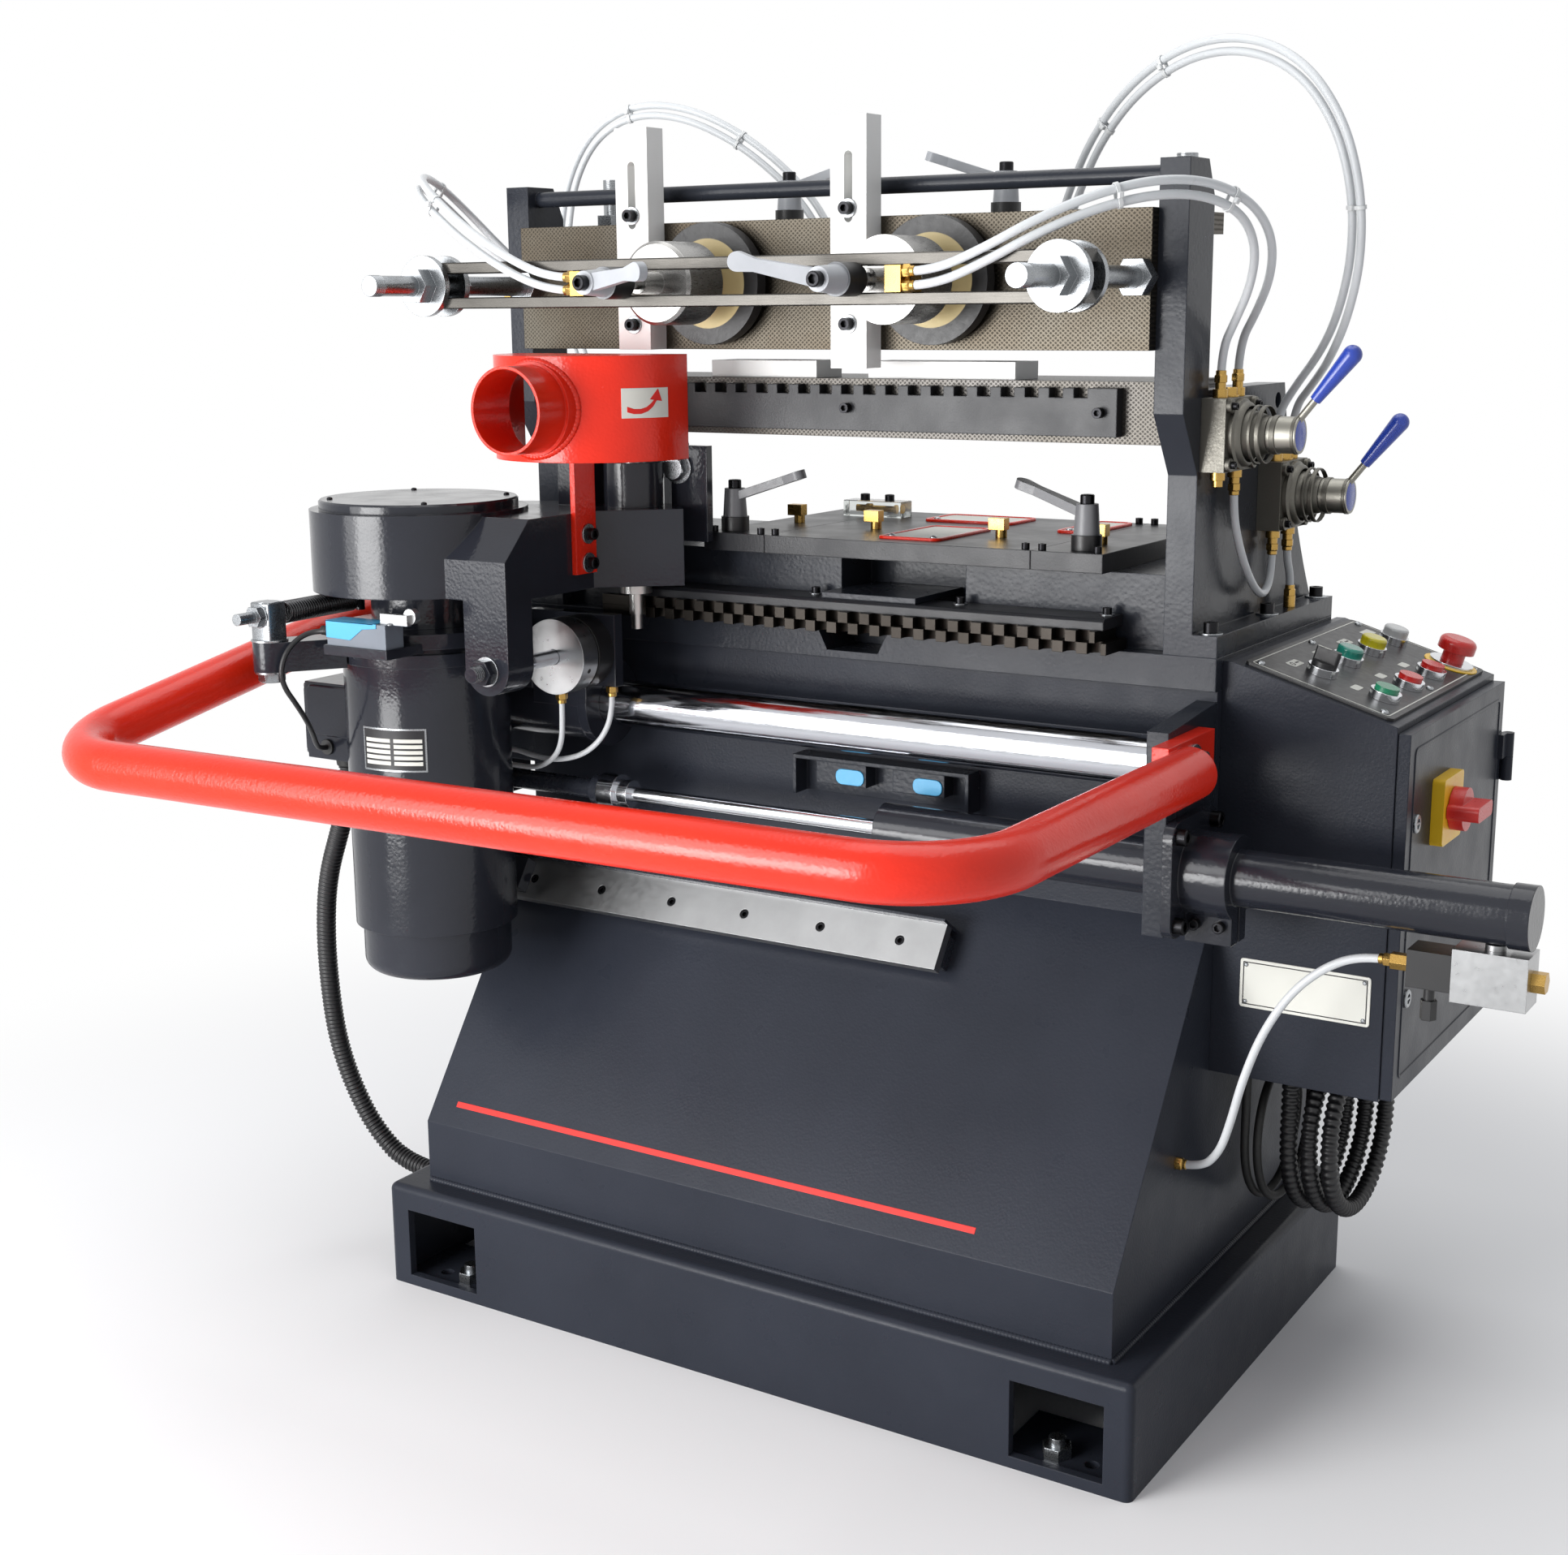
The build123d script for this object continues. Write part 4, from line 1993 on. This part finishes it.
right_front_low_route = [
    (fitting_right_face, rail_fitting_y, rail_centre_z - pair_step / 2),
    (fitting_right_face + 28, rail_fitting_y, rail_centre_z - pair_step / 2),
    (280, -288, 1108),
    (326, -278, 1132),
    (tower_outer - 22, -252, 1152),
    (tower_outer + 14, -214, 1164),
    (tower_outer + 42, -168, 1164),
    (tower_outer + 58, -122, 1150),
    (tower_outer + 58, -84, 1122),
    (tower_outer + 44, -58, 1088),
    (tower_outer + 26, -45, 1058),
    (valve_port_x, valve_upper[0] - valve_elbow_y, upper_port + 30),
    (valve_port_x, valve_upper[0] - valve_elbow_y, upper_port),
]
right_front_high_route = [
    (fitting_right_face, rail_fitting_y, rail_centre_z + pair_step / 2),
    (fitting_right_face + 28, rail_fitting_y, rail_centre_z + pair_step / 2),
    (280, -288, 1120),
    (326, -278, 1144),
    (tower_outer - 22, -252, 1164),
    (tower_outer + 14, -214, 1176),
    (tower_outer + 44, -166, 1176),
    (tower_outer + 64, -116, 1160),
    (tower_outer + 68, -72, 1132),
    (tower_outer + 56, -38, 1098),
    (tower_outer + 34, -12, 1066),
    (valve_port_x, valve_upper[0] + valve_elbow_y, upper_port + 34),
    (valve_port_x, valve_upper[0] + valve_elbow_y, upper_port),
]
right_loop_route = [
    (clamp_right_x, down_fitting_back, down_fitting_z),
    (clamp_right_x, down_fitting_back + 29, down_fitting_z),
    (150, 116, 1116),
    (156, 131, 1142),
    (170, 132, 1186),
    (198, 124, 1238),
    (246, 106, 1284),
    (308, 86, 1312),
    (tower_outer - 16, 66, 1314),
    (tower_outer + 46, 45, 1288),
    (tower_outer + 90, 29, 1236),
    (tower_outer + 111, 23, 1175),
    (tower_outer + 110, 36, 1116),
    (tower_outer + 91, 66, 1065),
    (tower_outer + 66, 96, 1026),
]
right_loop_low, right_loop_high = pair(right_loop_route, (1, 0, 0))
right_loop_low_route = [
    *right_loop_low,
    (tower_outer + 28, 112, 990),
    (valve_port_x, valve_lower[0] - valve_elbow_y, lower_port + 30),
    (valve_port_x, valve_lower[0] - valve_elbow_y, lower_port),
]
right_loop_high_route = [
    *right_loop_high,
    (tower_outer + 40, 138, 996),
    (valve_port_x, valve_lower[0] + valve_elbow_y, lower_port + 34),
    (valve_port_x, valve_lower[0] + valve_elbow_y, lower_port),
]
link_route = [
    (valve_port_x, valve_upper[0] + valve_elbow_y, valve_upper[1] - valve_port_rise),
    (valve_port_x, valve_upper[0] + valve_elbow_y, valve_upper[1] - valve_port_rise - 26),
    (tower_outer + 14, 14, 850),
    (tower_outer + 16, 32, 822),
    (tower_outer + 17, 56, 800),
    (tower_outer + 16, 82, 790),
    (tower_outer + 14, 104, 798),
    (valve_port_x, valve_lower[0] - valve_elbow_y, valve_lower[1] - valve_port_rise - 22),
    (valve_port_x, valve_lower[0] - valve_elbow_y, valve_lower[1] - valve_port_rise),
]
supply_route = [
    (valve_port_x, valve_lower[0] + valve_elbow_y, valve_lower[1] - valve_port_rise),
    (valve_port_x, valve_lower[0] + valve_elbow_y, valve_lower[1] - valve_port_rise - 18),
    (tower_outer + supply_reach, supply_y, flange_top + table_stem + 20),
    (tower_outer + supply_reach, supply_y, flange_top + table_stem),
]
feed_route = [
    (flow_x - flow_size / 2 - flow_inlet, feed_y, exhaust_z),
    (590, feed_y, exhaust_z),
    (560, -128, 490),
    (528, -134, 462),
    (502, -138, 418),
    (484, -138, 366),
    (column_half_length + 57, -132, 320),
    (column_half_length + 45, -126, 286),
    (column_half_length + 25, -120, 264),
    (column_half_length, -120, 264),
]
air_routes = [
    *pair(left_front_route, (0, 0, 1)),
    *pair(rear_left_route, (1, 0, 0)),
    right_front_low_route,
    right_front_high_route,
    right_loop_low_route,
    right_loop_high_route,
    link_route,
    supply_route,
    feed_route,
]
with BuildPart() as air_tubes:
    for route in air_routes:
        cord(route, tube_radius)
air_tubes.part.label = "air_tubes"
export_step(air_tubes.part, "parts/air_tubes.step")

# Two tubes from the swing cylinder to the carriage leg, and the limit switch's cable to the terminal box
swing_routes = [
    [
        (swing_plate_right - 8, swing_back + 4, swing_plate_bottom),
        (swing_plate_right - 8, swing_back + 4, swing_plate_bottom - 28),
        (-236, -156, 624),
        (-262, -158, 602),
        (-300, -158, 592),
        (-338, -150, 592),
        (leg_right + 26, -140, 594),
        (leg_right, -140, 594),
    ],
    [
        (swing_x, swing_front + 12, swing_z - swing_radius),
        (swing_x, swing_front + 12, swing_z - swing_radius - 27),
        (-264, -192, 624),
        (-284, -178, 602),
        (-314, -164, 586),
        (-342, -148, 578),
        (leg_right + 24, -140, 576),
        (leg_right, -140, 576),
    ],
]
switch_cable_route = [
    (ledge_left + limit_inset, -361, 752),
    (ledge_left + limit_inset - 20, -363, 752),
    (-452, -378, 748),
    (-457, -396, 734),
    (-460, -403, 714),
    (-459, -400, 696),
    (-455, -389, 678),
    (-462, -368, 656),
    (-478, -344, 636),
    (-494, -324, 619),
    (-500, terminal_front - 12, 612),
    (-500, terminal_front, 612),
]
with BuildPart() as swing_air_tubes:
    for route in swing_routes:
        cord(route, swing_tube_radius)
with BuildPart() as switch_cable:
    cord(switch_cable_route, switch_cable_radius)
swing_tubes = Compound(label="swing_tubes", children=[swing_air_tubes.part, switch_cable.part])
export_step(swing_tubes, "parts/swing_tubes.step")


def biarc(start, start_tangent, end, end_tangent):
    """Two tangent arcs from one point and direction to another."""
    chord = end - start
    total = start_tangent + end_tangent
    bend = 2 * (1 - start_tangent.dot(end_tangent))
    reach = (-chord.dot(total) + math.sqrt(chord.dot(total) ** 2 + bend * chord.dot(chord))) / bend
    low = start + start_tangent * reach
    high = end - end_tangent * reach
    middle = (low + high) / 2
    TangentArc(start, middle, tangent=start_tangent)
    TangentArc(middle, end, tangent=(high - low).normalized())


def least_gap(path, wire_radius, turn_length):
    """The smallest gap between turns, measured between points from half a turn to a turn and a half apart."""
    per_turn = 64
    count = int(per_turn * path.length / turn_length)
    points = [path @ (index / count) for index in range(count + 1)]
    near = [
        (a - b).length
        for index, a in enumerate(points)
        for b in points[index + per_turn // 2:index + per_turn * 3 // 2]
    ]
    return min(near) - 2 * wire_radius


# Return spring from the eye bolt to the pin under the pulley housing, as one unbroken wire
spring_start = Vector(spring_post_x, spring_post_y + eye_back + turn_gap, eye_z)
spring_end = Vector(pivot_x - spring_pin_x, pivot_y + spring_pin_y - spring_pin_radius - turn_gap, eye_z)
spring_axis = (spring_end - spring_start).normalized()
spring_out = Vector(0, 0, 1)
spring_sideways = spring_axis.cross(spring_out)
spring_body = (spring_end - spring_start).length - 2 * spring_lead
spring_pitch = spring_body / spring_turns


def spring_point(turns):
    """A point on the helix after some turns, and the direction of the wire there."""
    angle = 2 * math.pi * turns
    radial = spring_out * math.cos(angle) + spring_sideways * math.sin(angle)
    tangent = spring_sideways * math.cos(angle) - spring_out * math.sin(angle)
    place = spring_start + spring_axis * (spring_lead + spring_pitch * turns) + radial * spring_radius
    heading = tangent * (2 * math.pi * spring_radius) + spring_axis * spring_pitch
    return place, heading.normalized()


with BuildPart() as return_spring:
    with BuildLine() as spring_path:
        wire_run = spring_axis * 2 * spring_wire
        Line(spring_start, spring_start + wire_run)
        biarc(spring_start + wire_run, spring_axis, *spring_point(0))
        for quarter in range(4 * spring_turns):
            biarc(*spring_point(quarter / 4), *spring_point((quarter + 1) / 4))
        biarc(*spring_point(spring_turns), spring_end - wire_run, spring_axis)
        Line(spring_end - wire_run, spring_end)
    with BuildSketch(Plane(origin=spring_start, z_dir=spring_axis)):
        Circle(spring_wire)
    sweep()
    spring_turn = 2 * math.pi * spring_radius
    print("spring, least gap", round(least_gap(spring_path.wire(), spring_wire, spring_turn), 2))
return_spring.part.label = "return_spring"
export_step(return_spring.part, "parts/return_spring.step")


def ribbed_hose(path, core, rib, bore, pitch, steady_axis):
    """A hose with raised ribs: a ruled loft through four circles for each rib, then its bore."""
    count = int(path.length / pitch)
    stations = []
    for index in range(count):
        for share, radius in ((0, core), (0.2, core + rib), (0.6, core + rib), (0.8, core)):
            stations.append(((index + share) / count, radius))
    stations.append((1, core))
    rings = []
    for place, radius in stations:
        steady = (path % place).cross(steady_axis)
        station = Plane(origin=path @ place, x_dir=steady, z_dir=path % place)
        with BuildSketch(station, mode=Mode.PRIVATE) as circle:
            Circle(radius)
        rings.append(circle.sketch)
    loft(rings, ruled=True)
    with BuildSketch(Plane(origin=path @ 0, z_dir=path % 0), mode=Mode.PRIVATE) as hole:
        Circle(bore)
    sweep(hole.sketch, path=path, mode=Mode.SUBTRACT)
    print("ribbed hose", round(path.length), "mm,", count, "ribs")


# Ribbed conduit from the motor's terminal box down to the plinth
motor_conduit_route = [
    (conduit_x, conduit_y, terminal_bottom),
    (conduit_x, conduit_y, terminal_bottom - 44),
    (-532, -256, 508),
    (-562, -250, 446),
    (-580, -240, 376),
    (-588, -230, 304),
    (-588, -222, 240),
    (-576, -213, 182),
    (-552, -205, 130),
    (-plinth_x - 58, -200, 92),
    (-plinth_x, -200, 92),
]
with BuildPart() as motor_conduit:
    with BuildLine(mode=Mode.PRIVATE) as conduit_line:
        FilletPolyline(*motor_conduit_route, radius=cord_radii(motor_conduit_route))
    conduit_path = conduit_line.wire()
    ribbed_hose(conduit_path, conduit_radius, conduit_rib, conduit_bore, conduit_pitch, Vector(0, 1, 0))
    print("motor conduit, least radius", round(min(cord_radii(motor_conduit_route))))


def hanging_coil(start_x, centre_y, centre_z, radius, step, turns):
    """The middle line of a coil under the box: straight down, round some turns and straight up again."""

    def coil_point(done):
        angle = math.pi + 2 * math.pi * done
        radial = Vector(0, math.cos(angle), math.sin(angle))
        tangent = Vector(0, -math.sin(angle), math.cos(angle))
        place = Vector(start_x + step * done, centre_y, centre_z) + radial * radius
        heading = tangent * (2 * math.pi * radius) + Vector(step, 0, 0)
        return place, heading.normalized()

    first, first_heading = coil_point(0)
    last, last_heading = coil_point(turns)
    entry = Vector(first.X, first.Y, box_bottom)
    leave = Vector(last.X, last.Y, box_bottom)
    run = Vector(0, 0, coil_straight)
    up = Vector(0, 0, 1)
    with BuildLine(mode=Mode.PRIVATE) as line:
        Line(entry, entry - run)
        biarc(entry - run, -up, first, first_heading)
        for quarter in range(int(4 * turns)):
            biarc(*coil_point(quarter / 4), *coil_point((quarter + 1) / 4))
        biarc(last, last_heading, leave - run, up)
        Line(leave - run, leave)
    return line.wire()


# Spare conduit, hung in a coil under the control box
with BuildPart() as spare_conduit:
    coil_path = hanging_coil(coil_x, coil_y, coil_z, coil_radius, coil_step, coil_turns)
    ribbed_hose(coil_path, coil_hose_radius, conduit_rib, coil_hose_bore, coil_pitch, Vector(1, 0, 0))
    coil_turn = 2 * math.pi * coil_radius
    print("coil, least gap", round(least_gap(coil_path, coil_hose_radius + conduit_rib, coil_turn), 2))

# Loops of smooth cable beside the coil
with BuildPart() as loose_cable:
    loop_path = hanging_coil(loop_x, loop_y, loop_z, loop_radius, loop_step, loop_turns)
    with BuildSketch(Plane(origin=loop_path @ 0, z_dir=loop_path % 0)):
        Circle(loop_cable_radius)
    sweep(path=loop_path)
    print("loose cable", round(loop_path.length), "mm")
    loop_turn = 2 * math.pi * loop_radius
    print("loops, least gap", round(least_gap(loop_path, loop_cable_radius, loop_turn), 2))
conduits = Compound(label="conduits", children=[motor_conduit.part, spare_conduit.part, loose_cable.part])
export_step(conduits, "parts/conduits.step")
